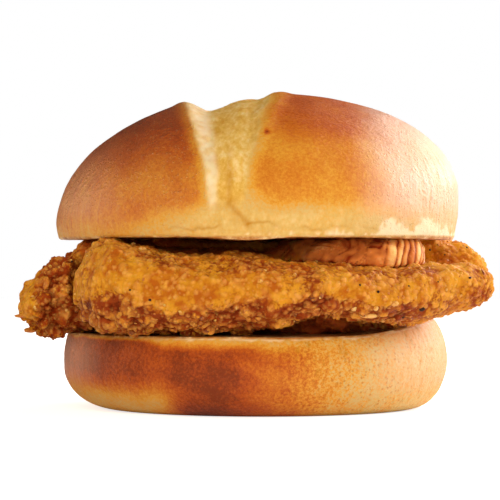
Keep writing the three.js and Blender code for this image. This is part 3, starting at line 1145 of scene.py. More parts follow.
    def rim_crumb(self, points: np.ndarray) -> np.ndarray:
        """1 on the white crumb's ragged strip above the rim, highest at the right, 0 above it.

        Args:
            points: places on the crown.

        Returns:
            Share of crumb.
        """
        x, _, z = points.T
        ragged = together(self.crumb_waves, points) + sum(peak.at(x) for peak in self.crumb_peaks)
        ragged += self.crumb_rise * self.crumb_rises.share(x) - self.crumb_end * self.crumb_ends.share(x)
        return smoothstep(1.0, -0.4, z - self.rim - 0.2 - ragged)

    def wall_crumbs(self, points: np.ndarray, across: np.ndarray, up: np.ndarray) -> np.ndarray:
        """Share of white on the split's left wall, partly crumb and partly a painted highlight, from the
        places across and up it.
        """
        patches = lerp(0.45, 1, self.wall_patches.share(0, points))
        return self.torn_band(across, up) * self.wall_crumb.share(across) * patches

    def crease(self, points: np.ndarray) -> np.ndarray:
        """The tear's middle crease, which runs down the front and bends right at its foot.

        Args:
            points: places on the crown.

        Returns:
            Depth as a share.
        """
        x, y, z = points.T
        bend = 4.5 * smoothstep(55, 48.5, z)
        line = self.split_x + 0.6 + bend + Waver(0.9, 5, 31).at(points) + Waver(0.5, 1.8, 36).at(points)
        width = 0.8 + Waver(0.5, 5, 32).at(points)
        reach = smoothstep(46.5, 49, z) * smoothstep(71, 60, z) * (y < 0)
        return bell(x - line, np.maximum(width, 0.3)) * reach

    def rim_lines(self, points: np.ndarray) -> np.ndarray:
        """Thin creases that run along the side, just above the cut face.

        Args:
            points: places on the crown.

        Returns:
            Depth as a share.
        """
        x, y, z = points.T
        stray = together((Waver(3.4, (6, 6, 40), 33), Waver(1.2, (2.2, 2.2, 40), 37)), points)
        line = self.rim + 2.6 + stray
        reach = Edge(-0.12, 0.15, Waver(1, (7, 7, 60), 34)).share(0, points)
        return bell(z - line, 0.34) * reach * smoothstep(30, 22, np.abs(x - 4)) * (y < 0)

    def skirt_share(self, points: np.ndarray) -> np.ndarray:
        """1 on the pale skirt at the foot of the split, 0 elsewhere.

        Args:
            points: places on the crown.

        Returns:
            Share of the torn colour.
        """
        x, y, z = points.T
        spread = smoothstep(34, 12, np.abs(x - 4)) * (y < 0)
        return spread * Edge(55, 51, Waver(3, 9, 38)).share(z, points)

    def side_wrinkles(self, points: np.ndarray) -> np.ndarray:
        """Fine upright wrinkles on the crown's left and right sides.

        Args:
            points: places on the crown.

        Returns:
            Relief in millimetres.
        """
        x, _, z = points.T
        reach = self.wrinkles_from.share(np.abs(x)) * self.wrinkles_under.share(z)
        return reach * self.wrinkles.at(unrolled(points, self.width))

    def bake(self, points: np.ndarray, across: np.ndarray, up: np.ndarray) -> np.ndarray:
        """How brown the crust is; its paler right side is partly painted light.

        Args:
            points: places on the crown.
            across: place across the split.
            up: share of the way up the split.

        Returns:
            Bake from 0, pale, to 1, dark.
        """
        x, _, z = points.T
        left = smoothstep(-12, -42, x)
        # Towards the right the crust is paler: partly a lighter bake, partly painted light from the lamp at
        # the right.
        right = smoothstep(18, 48, x)
        skirt = 54.2 - 5.5 * left - 2.5 * right + Waver(3.0, 13, 41).at(points)
        low = lerp(0.07, 0.26, left) - 0.04 * right + Waver(0.05, 7, 42).at(points)
        body = smoothstep(skirt - 3.5, skirt + 3.5, z)
        high_left = Edge(58, 76, Waver(4, 18, 43)).share(z, points)
        high_right = Edge(66.5, 79, Waver(5, 16, 44)).share(z, points) * (1 - 0.35 * right)
        left_lobe = 0.54 + 0.36 * high_left
        # The right lobe pales towards its right side: partly painted light from the lamp at the right.
        right_lobe = (0.43 + 0.31 * high_right) * (1 - 0.35 * smoothstep(30, 50, x))
        lobe = np.where(x < self.split_x, left_lobe, right_lobe)
        brown = lerp(low, lobe, body) + 0.9 * self.side_wrinkles(points)
        near_left = 0.5 * smoothstep(-0.92, -1.06, across) + 0.5 * smoothstep(-1.0, -1.55, across)
        near_right = 0.5 * smoothstep(0.88, 1.04, across) + 0.5 * smoothstep(1.0, 1.6, across)
        near = np.where(across < 0, near_left, near_right)
        inside = np.clip(5 * (1 - np.abs(across)), 0, 1) * smoothstep(0.02, 0.2, up)
        return np.clip(brown * lerp(1, near, smoothstep(0.0, 0.16, up)) * (1 - 0.6 * inside), 0, 1)


@dataclass
class BunHeel:
    """Lower half of the bun: flat underside, rounded corner, upright side and a cut face on top."""

    middle: np.ndarray
    width: float
    depth: float
    cut: float
    flat_radius: Sides = Sides(36, 40)
    widest: Sides = Sides(12.5, 13)
    tuck: Sides = Sides(0.015, 0.065)
    lift: float = 4.2
    lift_from: float = 22.0
    arris: float = 0.6
    around: int = 520
    rings_base: int = 18
    rings_corner: int = 46
    rings_side: int = 23
    rings_face: int = 39

    # Relief.
    face_waves: Waver = Waver(0.4, 22, 9)
    swell: tuple[Waver, ...] = (Waver(0.45, 16, 52), Waver(0.12, 5, 53))
    face_crumbs: Waver = Waver(0.2, 1.5, 54)
    folds: Waver = Waver(1, (1.1, 1, 6), 51)
    fold_depth: float = 0.35
    folds_from: Edge = Edge(26, 46)
    pit_size: tuple[float, float, float] = (1.5, 1, 2.3)
    pit_patches: Edge = Edge(-0.15, 0.15, Waver(1, 12, 58))
    pit_depth: float = 0.3

    # Looks.
    crumb_under: Edge = Edge(0.9, 0.4, Waver(1.2, 2.2, 56))
    crumb_from: Edge = Edge(-32, -14)
    cut_edge: Edge = Edge(0.5, 0.1, Waver(0.3, 2, 55))
    pits_from: Edge = Edge(-4, 16)
    shiny_from: Edge = Edge(15, 42)
    porous_from: Edge = Edge(-12, 22, Waver(5, 9, 67))
    # Where a sheen is painted on the right and left sides.
    painted_sheen_right: tuple[Edge, Edge] = (Edge(22, 42), Edge(3, 9))
    painted_sheen_left: tuple[Edge, Edge] = (Edge(-38, -48), Edge(5, 12))

    @classmethod
    def from_frame(cls, middle: np.ndarray) -> "BunHeel":
        """Takes the sizes from the frame's heel.

        Args:
            middle: the bun's middle in the frame.

        Returns:
            The heel.
        """
        low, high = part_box("bun_heel")
        own_middle = np.array([(low.x + high.x) / 2 / MM, middle[1], 0])
        lifted = 3.45
        return cls(own_middle, (high.x - low.x) / MM, (high.y - low.y) / MM, high.z / MM - lifted)

    def top(self, x: np.ndarray, y: np.ndarray) -> np.ndarray:
        """Height of the cut face at each place along X and Y."""
        lift = self.lift * smoothstep(self.lift_from, self.width / 2 + 4, x)
        return self.cut + lift + level_waves(self.face_waves, x, y)

    def base(self) -> Surface:
        """Returns the heel without its relief."""
        angle = np.arange(self.around) / self.around * TURN
        way = np.stack([np.cos(angle), np.sin(angle)], 1)
        radius = outline_radius(self.width, self.depth, angle)
        flat_radius, widest, tuck = self.flat_radius.at(angle), self.widest.at(angle), self.tuck.at(angle)
        rings = [np.zeros((1, 3))]
        for share in np.linspace(0, 1, self.rings_base + 1)[1:-1]:
            rings.append(np.column_stack([way * (flat_radius * share)[:, None], np.zeros(self.around)]))
        for rise in np.linspace(0, TURN / 4, self.rings_corner):
            flat = way * lerp(flat_radius, radius, math.sin(rise) ** 0.85)[:, None]
            rings.append(np.column_stack([flat, widest * (1 - max(math.cos(rise), 0) ** 0.95)]))
        for share in np.linspace(0, 1, self.rings_side + 1)[1:]:
            soft = 0.5 * self.arris * max(0, share * 10 - 9) ** 2
            flat = way * (radius * (1 - tuck * share**2) - soft)[:, None]
            high = self.top(flat[:, 0], flat[:, 1]) - ARRIS_RISE * self.arris
            rings.append(np.column_stack([flat, lerp(widest, high, share)]))
        for share in np.linspace(0, 1, self.rings_face + 1)[:-1]:
            flat = way * ((radius * (1 - tuck) - ARRIS_INSET * self.arris) * (1 - share))[:, None]
            rings.append(np.column_stack([flat, self.top(flat[:, 0], flat[:, 1])]))
        rings.append(np.array([[0, 0, float(self.top(np.zeros(1), np.zeros(1))[0])]]))
        return ringed_surface(rings)

    def build(self) -> bpy.types.Object:
        """Builds the heel with its relief and masks, and rides it on the frame."""
        surface = self.base()
        points = surface.points
        x, y, z = points.T
        below = self.top(x, y) - z
        out = np.hypot(x, y) / outline_radius(self.width, self.depth, np.arctan2(y, x))
        side = smoothstep(0.2, 2.5, z) * smoothstep(0.88, 0.97, out) * smoothstep(0, 0.6, below)
        folds = self.fold_depth * self.folds_from.share(np.abs(x)) * self.side_folds(points)
        swell = together(self.swell, points) - self.pit_depth * self.pits(points)
        crumbs = self.face_crumbs.at(points) * smoothstep(1.2, 0.2, below)
        surface.push((folds + swell) * side + crumbs * smoothstep(0.5, 0.9, out))
        sunk = np.maximum(0, -surface.points[:, 2])
        surface.points[:, 2] += sunk
        surface.masks = self.masks(points, below, side)
        made = surface.object("bun_heel_baked", self.middle)
        return dressed(made, BakedBread(), "bun_heel")

    def masks(self, points: np.ndarray, below: np.ndarray, side: np.ndarray) -> dict[str, np.ndarray]:
        """What the heel's finish reads at each point.

        Args:
            points: places on the heel.
            below: how far each is below the cut face.
            side: 1 on the side, 0 on the two faces.

        Returns:
            Each mask by its name.
        """
        x, _, z = points.T
        painted_sheen_right = self.painted_sheen_right[0].share(x) * self.painted_sheen_right[1].share(z)
        painted_sheen_left = self.painted_sheen_left[0].share(x) * self.painted_sheen_left[1].share(z)
        return {
            "bake": self.bake(points, below),
            "torn": np.zeros(len(points)),
            "crumb": 0.7 * self.crumb_under.share(below, points) * side * self.crumb_from.share(x),
            "cut": self.cut_edge.share(below, points),
            # Painted shade in the side's pits.
            "line": 0.7 * self.pits(points) * side * self.pits_from.share(x),
            "gloss": lerp(0.15, 0.6, self.shiny_from.share(x)),
            "porous": self.porous_from.share(x, points),
            # Painted sheen on the right and left sides.
            "bloom": 0.32 * painted_sheen_right + 0.3 * painted_sheen_left,
        }

    def side_folds(self, points: np.ndarray) -> np.ndarray:
        """Fine upright folds round the side, from about -0.5 to 0.5."""
        return self.folds.at(unrolled(points, self.width))

    def pits(self, points: np.ndarray) -> np.ndarray:
        """Small open pores in the side.

        Args:
            points: places on the heel.

        Returns:
            Depth as a share.
        """
        turned = unrolled(points, self.width)
        nearest, _, own = grains(turned, self.pit_size, 57)
        some = smoothstep(0.3, 0.2, own) * self.pit_patches.share(0, turned)
        return some * smoothstep(0.45, 0.2, nearest)

    def bake(self, points: np.ndarray, below: np.ndarray) -> np.ndarray:
        """How brown the crust is; its paler right side is partly painted light.

        Args:
            points: places on the heel.
            below: how far each is below the cut face.

        Returns:
            Bake from 0, pale, to 1, dark.
        """
        x, y, z = points.T
        # Paler towards the right: partly a lighter bake, partly painted light from the lamp at the right.
        right = Edge(-12, 32, Waver(4, 14, 64)).share(x, points)
        slant = np.stack([x, y, 0.32 * x + 0.95 * z], 1)
        streaks = Waver(0.16, (24, 24, 3.4), 65).at(slant) * smoothstep(-30, -16, x) * smoothstep(22, 4, x)
        brown = 0.94 - 0.85 * right + 0.3 * self.side_folds(points) * right
        brown += Waver(0.1, 13, 61).at(points) + streaks
        top = lerp(1.0, 3.4, smoothstep(-34, -18, x))
        edge = smoothstep(0.2 * top, 1.3 * top, below + Waver(1.4, 8, 62).at(points))
        foot = Edge(12, 3, Waver(2.5, 14, 63)).share(z, points)
        foot *= Edge(-15, -27, Waver(2.5, 7, 66)).share(x, points)
        return np.clip(lerp(0.22, brown, edge) * (1 - 0.78 * foot), 0, 1)


# ---------- chicken ----------


class StripPlace(Enum):
    """Which strip of chicken, by the frame's node."""

    FRONT = "chicken_strip_front"
    MIDDLE = "chicken_strip_middle"
    BACK = "chicken_strip_back"


@dataclass(frozen=True)
class Breading:
    """The layers of one strip's breading, each with a value for every point."""

    rough: np.ndarray
    tip: np.ndarray
    pleated: np.ndarray
    knobs: np.ndarray
    beads: np.ndarray
    granules: np.ndarray
    chunks: np.ndarray
    crevice: np.ndarray
    fold: np.ndarray
    golden: np.ndarray

    @property
    def plain(self) -> np.ndarray:
        """1 away from the craggy tip and the flaky end, 0 on them."""
        return (1 - self.pleated) * (1 - self.tip)


@dataclass
class ChickenStrip:
    """One breaded strip, roughened over the frame's solid.

    The salt moves every pattern on, so that no two strips are alike.
    """

    middle: np.ndarray
    place: StripPlace
    salt: int
    voxel: float = 0.42
    first_voxel: float = 0.9
    first_smoothing: int = 8
    smoothing: int = 3
    surface: Surface | None = None

    # Where the batter is smooth and where it is craggy.
    undersides: Edge = Edge(0.0, -0.6)
    upper_sides: Edge = Edge(0.5, 0.9)
    right_end: Edge = Edge(34, 46)
    left_end: Edge = Edge(-27, -40)
    end_top: Edge = Edge(33, 26)
    rough_patches: Waver = Waver(0.7, 12, 0)
    front_crag: tuple[float, float] = (15.5, 30.5)
    front_crag_reach: tuple[float, float] = (5, 6)
    thin_from: Edge = Edge(-43, -47)
    tip_from: Edge = Edge(-46, -53, Waver(2, 6, 71))
    pleats_from: Edge = Edge(6.4, 7.4)
    pleats_above: Edge = Edge(36, 38)
    pleats_lean: float = 0.84
    pleats_foot: float = 45.7

    # Relief: size of each kind of bump in millimetres.
    lumps: tuple[Waver, ...] = (Waver(0.9, 8, 8), Waver(0.6, 3.6, 9))
    clusters: Edge = Edge(-0.35, 0.15, Waver(1, 6, 12))
    knob_size: float = 4.2
    bead_sizes: tuple[float, float] = (2.2, 3.3)
    granule_size: float = 1.25
    chunk_sizes: tuple[float, float, float] = (4.8, 2.5, 1.4)
    chunk_heights: tuple[float, float, float] = (3.5, 1.8, 0.7)
    chunk_sink: float = 2.0
    flake_end: Edge = Edge(-56, -59, Waver(2, 4, 24))
    flake_above: Edge = Edge(24, 27)
    crest_from: Edge = Edge(-59, -55, Waver(2, 4, 24))

    def rough_share(self, points: np.ndarray, normals: np.ndarray) -> np.ndarray:
        """How craggy the breading is.

        Args:
            points: places on the strip.
            normals: outward normals there.

        Returns:
            Share from 0, smooth batter, to 1, crags.
        """
        x, _, z = points.T
        low = self.undersides.share(normals[:, 2]) * (1 - 0.7 * self.right_end.share(x))
        high = self.upper_sides.share(normals[:, 2]) * lerp(0.4, 0.2, smoothstep(0, 14, x))
        rough = 0.15 + 0.8 * low + high + self.rough_patches.at(points, self.salt)
        rough += 0.55 * self.left_end.share(x) * self.end_top.share(z)
        if self.place is StripPlace.FRONT:
            crag_x, crag_z = self.front_crag
            reach_x, reach_z = self.front_crag_reach
            rough += 0.06 * smoothstep(18, 30, x)
            rough += 0.4 * bell(x - crag_x, reach_x) * bell(z - crag_z, reach_z)
        return np.clip(rough, 0, 1) * (1 - 0.5 * self.shade(points))

    def thinned(self, points: np.ndarray) -> np.ndarray:
        """How thick the breading is: the front strip's left end has less of it.

        Args:
            points: places on the strip.

        Returns:
            Share of the full thickness.
        """
        if self.place is not StripPlace.FRONT:
            return np.ones(len(points))
        return 1 - 0.6 * self.thin_from.share(points[:, 0])

    def tip_share(self, points: np.ndarray) -> np.ndarray:
        """Finds the middle strip's craggy left tip.

        Args:
            points: places on the strip.

        Returns:
            1 on the tip, 0 elsewhere.
        """
        if self.place is not StripPlace.MIDDLE:
            return np.zeros(len(points))
        return self.tip_from.share(points[:, 0], points)

    def pleat_share(self, points: np.ndarray) -> np.ndarray:
        """Finds the middle strip's flaky right end.

        Args:
            points: places on the strip.

        Returns:
            1 on the flaky end, 0 elsewhere.
        """
        if self.place is not StripPlace.MIDDLE:
            return np.zeros(len(points))
        slanted = points[:, 0] + self.pleats_lean * (points[:, 2] - self.pleats_foot)
        return self.pleats_from.share(slanted) * self.pleats_above.share(points[:, 2])

    def build(self) -> bpy.types.Object:
        """Builds the strip with its relief and masks, and rides it on the frame."""
        surface = even_skin(merged_node(self.place.value, self.middle), self.first_voxel)
        surface.smooth(self.first_smoothing)
        surface = even_skin(surface, self.voxel)
        surface.smooth(self.smoothing)
        points, normals = surface.points, surface.normals()
        layers = self.layers(points, normals)
        surface.push(self.relief(points, layers))
        surface.points[:, 2] += self.lift(points, normals)
        surface.masks = self.masks(points, normals, layers)
        self.surface = surface
        made = surface.object(self.place.value + "_fried", self.middle)
        return dressed(made, FriedBatter(), self.place.value)

    def layers(self, points: np.ndarray, normals: np.ndarray) -> Breading:
        """Works out the breading's layers.

        Args:
            points: places on the strip.
            normals: outward normals there.

        Returns:
            The layers.
        """
        salt = self.salt
        rough = self.rough_share(points, normals)
        cluster = self.clusters.share(0, points, salt)
        warped = drifted(points, 0.9, 3, (salt + 1, salt + 2, salt + 3))
        small, wide = self.bead_sizes
        beads = bumps(warped, small, lerp(0.42, 0.6, np.maximum(rough, 0.7 * cluster)), salt + 5)
        beads = np.maximum(beads, 1.25 * bumps(warped, wide, 0.5 * rough, salt + 31))
        granules = bumps(warped, self.granule_size, lerp(0.42, 0.7, cluster), salt + 6)
        knobs = bumps(warped, self.knob_size, 0.7, salt + 4)
        tip, pleated = self.tip_share(points), self.pleat_share(points)
        chunks, crevice = self.chunks(warped)
        fold, golden = self.pleats(points)
        return Breading(rough, tip, pleated, knobs, beads, granules, chunks, crevice, fold, golden)

    def relief(self, points: np.ndarray, layers: Breading) -> np.ndarray:
        """How far the breading stands out; it keeps at least half a millimetre where the crown covers it.

        Args:
            points: places on the strip.
            layers: its breading.

        Returns:
            Relief in millimetres.
        """
        crags = layers.rough * (2.6 * layers.knobs - 0.6) + lerp(0.55, 0.85, layers.rough) * layers.beads
        crags += 0.7 * layers.granules + 0.15
        relief = together(self.lumps, points, self.salt) + layers.plain * self.thinned(points) * crags
        relief += layers.tip * layers.chunks + layers.pleated * (0.7 * layers.fold - 0.1)
        x, y, z = points.T
        covered = smoothstep(50, 44, np.hypot(x, y)) * smoothstep(43, 44.5, z)
        return np.where(layers.pleated > 0.5, relief, lerp(relief, np.maximum(relief, 0.5), covered))

    def masks(self, points: np.ndarray, normals: np.ndarray, layers: Breading) -> dict[str, np.ndarray]:
        """What the batter's finish and the scattered bits read at each point.

        Args:
            points: places on the strip.
            normals: outward normals there.
            layers: its breading.

        Returns:
            Each mask by its name.
        """
        x, y, z = points.T
        salt, rough, plain, beads = self.salt, layers.rough, layers.plain, layers.beads
        shade, outer = self.shade(points), self.outer(points, normals)
        crag = plain * self.thinned(points) * rough * (1.1 - 0.9 * beads - 0.5 * layers.knobs)
        # On the tip the crevices between the chunks turn a darker red: painted shade.
        crag += layers.tip * lerp(0.62, 1.2, layers.crevice) * self.crest(points)
        bead = (1 - layers.pleated) * (0.8 * beads + 1.5 * layers.granules) * (1 - shade) * (1 - 0.3 * rough)
        if self.place is StripPlace.FRONT:
            # Painted highlight: a pale band along the front strip's top edge.
            bead = bead + 0.5 * smoothstep(37.2, 38.8, z) * smoothstep(26, 36, x)
        low = plain * rough * smoothstep(0.12, 0.0, layers.knobs) * smoothstep(0.15, 0.0, beads)
        # Painted shade in the hollows between the crags, in the seam behind the front strip and in the tip's
        # crevices.
        cavity = 0.5 * (1 - layers.pleated) * low + 0.7 * self.seam(points)
        cavity += 0.45 * layers.tip * smoothstep(0.5, 1, layers.crevice)
        # Lighter in the tight pleats at the right, partly golden colour and partly painted light from the
        # lamp at the right; lighter at the flaky end's left edge, painted light where the crown shades it.
        fold = layers.fold * lerp(0.82, 1.15, layers.golden) + 0.2 * smoothstep(18, 8, x)
        fold += Waver(0.25, 2.0, 19).at(points, salt) + Waver(0.5, 4, 28).at(points, salt)
        return {
            "crag": np.clip(crag, 0, 1.2),
            "bead": np.clip(bead, 0, 1),
            # Painted shade under the crown and below the front strip.
            "deep": 0.85 * shade,
            "wet": smoothstep(-50, -42, x) * smoothstep(62, 50, x),
            "cavity": np.clip(cavity, 0, 1),
            "flake": layers.pleated,
            "fold": np.clip(fold, 0, 1),
            "grain": np.clip(0.2 + Waver(0.9, 10, 9).at(points, salt) + 0.3 * rough, 0, 1) * outer,
            "clump": np.clip(1.4 * rough - 0.6, 0, 1) * outer * plain,
            "pepper": smoothstep(-25, -5, y) * outer,
        }

    def lift(self, points: np.ndarray, normals: np.ndarray) -> np.ndarray:
        """How far the top rises to meet the crown at the bun's left and right edges.

        Args:
            points: places on the strip.
            normals: outward normals there.

        Returns:
            Rise in millimetres.
        """
        x, y, z = points.T
        top = smoothstep(0.1, 0.5, normals[:, 2]) * smoothstep(38, 41, z)
        left = smoothstep(-50, -45, x) * smoothstep(-32, -37, x)
        right = smoothstep(40, 46, x) * smoothstep(56, 50, x) * (y > 5)
        return top * (1.3 * left + 1.0 * right)

    def shade(self, points: np.ndarray) -> np.ndarray:
        """Finds where shade is painted as a deep red-brown, between the front strip and the bun.

        Args:
            points: places on the strip.

        Returns:
            1 where the shade is painted, 0 elsewhere.
        """
        x, y, z = points.T
        if self.place is StripPlace.FRONT:
            return np.zeros(len(points))
        ahead = smoothstep(18, 10, y) if self.place is StripPlace.MIDDLE else smoothstep(26, 18, y)
        under = smoothstep(29, 26, z) * smoothstep(-35, -25, x) * smoothstep(42, 34, x)
        above = smoothstep(39, 41.5, z) * smoothstep(22, 16, x) * smoothstep(-48, -42, x)
        return np.maximum(under, above * (1 - self.pleat_share(points))) * ahead

    def seam(self, points: np.ndarray) -> np.ndarray:
        """Finds the seam where the middle strip's tip passes behind the front strip, where dark shade is
        painted.

        Args:
            points: places on the strip.

        Returns:
            1 in the seam, 0 elsewhere.
        """
        x, _, z = points.T
        if self.place is not StripPlace.MIDDLE:
            return np.zeros(len(points))
        line = -48.8 + 0.62 * np.maximum(0, 31 - z) + Waver(1.2, 3, 27).at(points, self.salt)
        return smoothstep(-1.6, 0.4, x - line) * smoothstep(-30, -40, x) * smoothstep(42, 39, z)

    def crest(self, points: np.ndarray) -> np.ndarray:
        """How red the craggy tip is: 0.5 on the smooth flake at its far left, 1 along its crest."""
        return lerp(0.5, 1, self.crest_from.share(points[:, 0], points, self.salt))

    def chunks(self, points: np.ndarray) -> tuple[np.ndarray, np.ndarray]:
        """Knobs and broken crumbs of the craggy tip, with a smoother flake at its far left.

        Args:
            points: places on the strip.

        Returns:
            Height in millimetres, and 1 in the crevices between them.
        """
        salt = self.salt
        bent = drifted(points, 1.2, 2.6, (salt + 21, salt + 22, salt + 23))
        sizes, heights = self.chunk_sizes, self.chunk_heights
        height = heights[0] * bumps(bent, sizes[0], 0.85, salt + 10) - self.chunk_sink
        height += heights[1] * bumps(bent, sizes[1], 0.8, salt + 11)
        height += heights[2] * bumps(points, sizes[2], 0.6, salt + 13)
        smooth = self.flake_end.share(points[:, 0], points, salt) * self.flake_above.share(points[:, 2])
        return lerp(height, 0.3 * height, smooth) + 0.5, smoothstep(0.1, -1.4, height) * (1 - smooth)

    def pleats(self, points: np.ndarray) -> tuple[np.ndarray, np.ndarray]:
        """Folded layers of the flaky right end.

        Args:
            points: places on the strip.

        Returns:
            Height of the folds as a share, and share of the tight pleats at the right, painted lighter:
            partly golden, partly painted light.
        """
        x, y, z = points.T
        salt = self.salt
        tight = smoothstep(31, 35, x)
        swirl = drifted(points, 2.8, 5.0, (salt + 14, salt + 15, salt + 16))
        along = swirl[:, 0] + 0.5 * swirl[:, 1]
        leaning = (along - 0.9 * swirl[:, 2]) / 3.8
        rising = (along + 1.2 * swirl[:, 2]) / 4.8
        which = Edge(-0.08, 0.08, Waver(1, 8, 25)).share(0, points, salt)
        upright = (x + 0.3 * y - 0.25 * (z - 42) + Waver(0.9, 3.5, 18).at(points, salt)) / 2.1
        phase = lerp(lerp(leaning, rising, which), upright, tight)
        layer = np.stack([np.floor(phase), np.zeros_like(x), np.zeros_like(x)], 1).astype(np.int64)
        gap = np.abs(np.sin(phase * TURN / 2)) ** lerp(0.35, 0.6, tight)
        broken = Edge(-0.25, 0.2, Waver(1, (2.4, 3, 2.0), 29)).share(0, points, salt) * (1 - tight)
        gap = lerp(gap, 0.75 + Waver(0.6, (2.2, 3, 1.5), 30).at(points, salt), 0.7 * broken)
        fibres = Waver(0.12, 1.0, 20).at(np.stack([6 * phase, 0.4 * y, 0.6 * z], 1), salt)
        fold = gap * lerp(0.6, 1, cell_numbers(layer, salt + 17)) + fibres
        flat_flake = np.maximum(smoothstep(14, 12.5, x + 0.5 * (z - 44)), 0.8 * smoothstep(-13, -5, y))
        return lerp(fold, 0.6 + fibres, flat_flake), tight

    def outer(self, points: np.ndarray, normals: np.ndarray) -> np.ndarray:
        """Tells the strip's seen parts from its hidden ones.

        Args:
            points: places on the strip.
            normals: outward normals there.

        Returns:
            1 where the strip can be seen from outside the bun, 0 where it is hidden.
        """
        out = np.hypot(points[:, 0], points[:, 1])
        outwards = np.sum(points[:, :2] * normals[:, :2], axis=1) / np.maximum(out, 1)
        return smoothstep(34, 44, out) * smoothstep(-0.35, 0.1, outwards)


# ---------- scattered pieces ----------


@dataclass(frozen=True)
class Grain(Finish):
    """Breading grains: golden, each a little paler or redder than the next."""

    name: str = "breading_grain"
    pale: str = "f3c873"
    deep: str = "b9661f"
    golden: str = "dc9638"
    amber: str = "cc7f2a"
    coat: float = 0.3
    fine_size: float = 0.9
    bump_depth: float = 0.2
    scatter: tuple[float, float, float] = (1.2, 0.6, 0.2)

    def paint(self, graph: Graph, shader: bpy.types.Node) -> None:
        """Feeds the shader from the mask tint.

        Args:
            graph: the material's tree.
            shader: its Principled shader.
        """
        place = graph.add("ShaderNodeTexCoord").outputs["Object"]
        fine = graph.noise(place, self.fine_size, 3)
        tint = graph.plus(graph.mask("tint"), graph.sway(fine, 0.18))
        stops = ((0, self.pale), (0.2, self.golden), (0.6, self.amber), (1, self.deep))
        graph.feed(shader, "Base Color", graph.ramp(tint, stops))
        graph.feed(shader, "Roughness", graph.span(fine, *NOISE_RANGE, 0.25, 0.45))
        graph.feed(shader, "Normal", graph.bump(fine, 0.4, self.bump_depth))
        set_inputs(
            shader,
            {
                "Subsurface Weight": 0.4,
                "Subsurface Radius": tuple(reach * MM for reach in self.scatter),
                "Subsurface Scale": 1.0,
                "Coat Weight": self.coat,
                "Coat Roughness": 0.2,
            },
        )


@dataclass(frozen=True)
class Pepper(Finish):
    """Black pepper."""

    name: str = "black_pepper"
    black: str = "1a0c06"
    brown: str = "3a170a"
    patch_size: float = 0.4

    def paint(self, graph: Graph, shader: bpy.types.Node) -> None:
        """Gives the pepper its colour.

        Args:
            graph: the material's tree.
            shader: its Principled shader.
        """
        place = graph.add("ShaderNodeTexCoord").outputs["Object"]
        patches = graph.noise(place, self.patch_size, 2)
        graph.feed(shader, "Base Color", graph.ramp(patches, ((0.3, self.black), (0.7, self.brown))))
        set_inputs(shader, {"Roughness": 0.6})


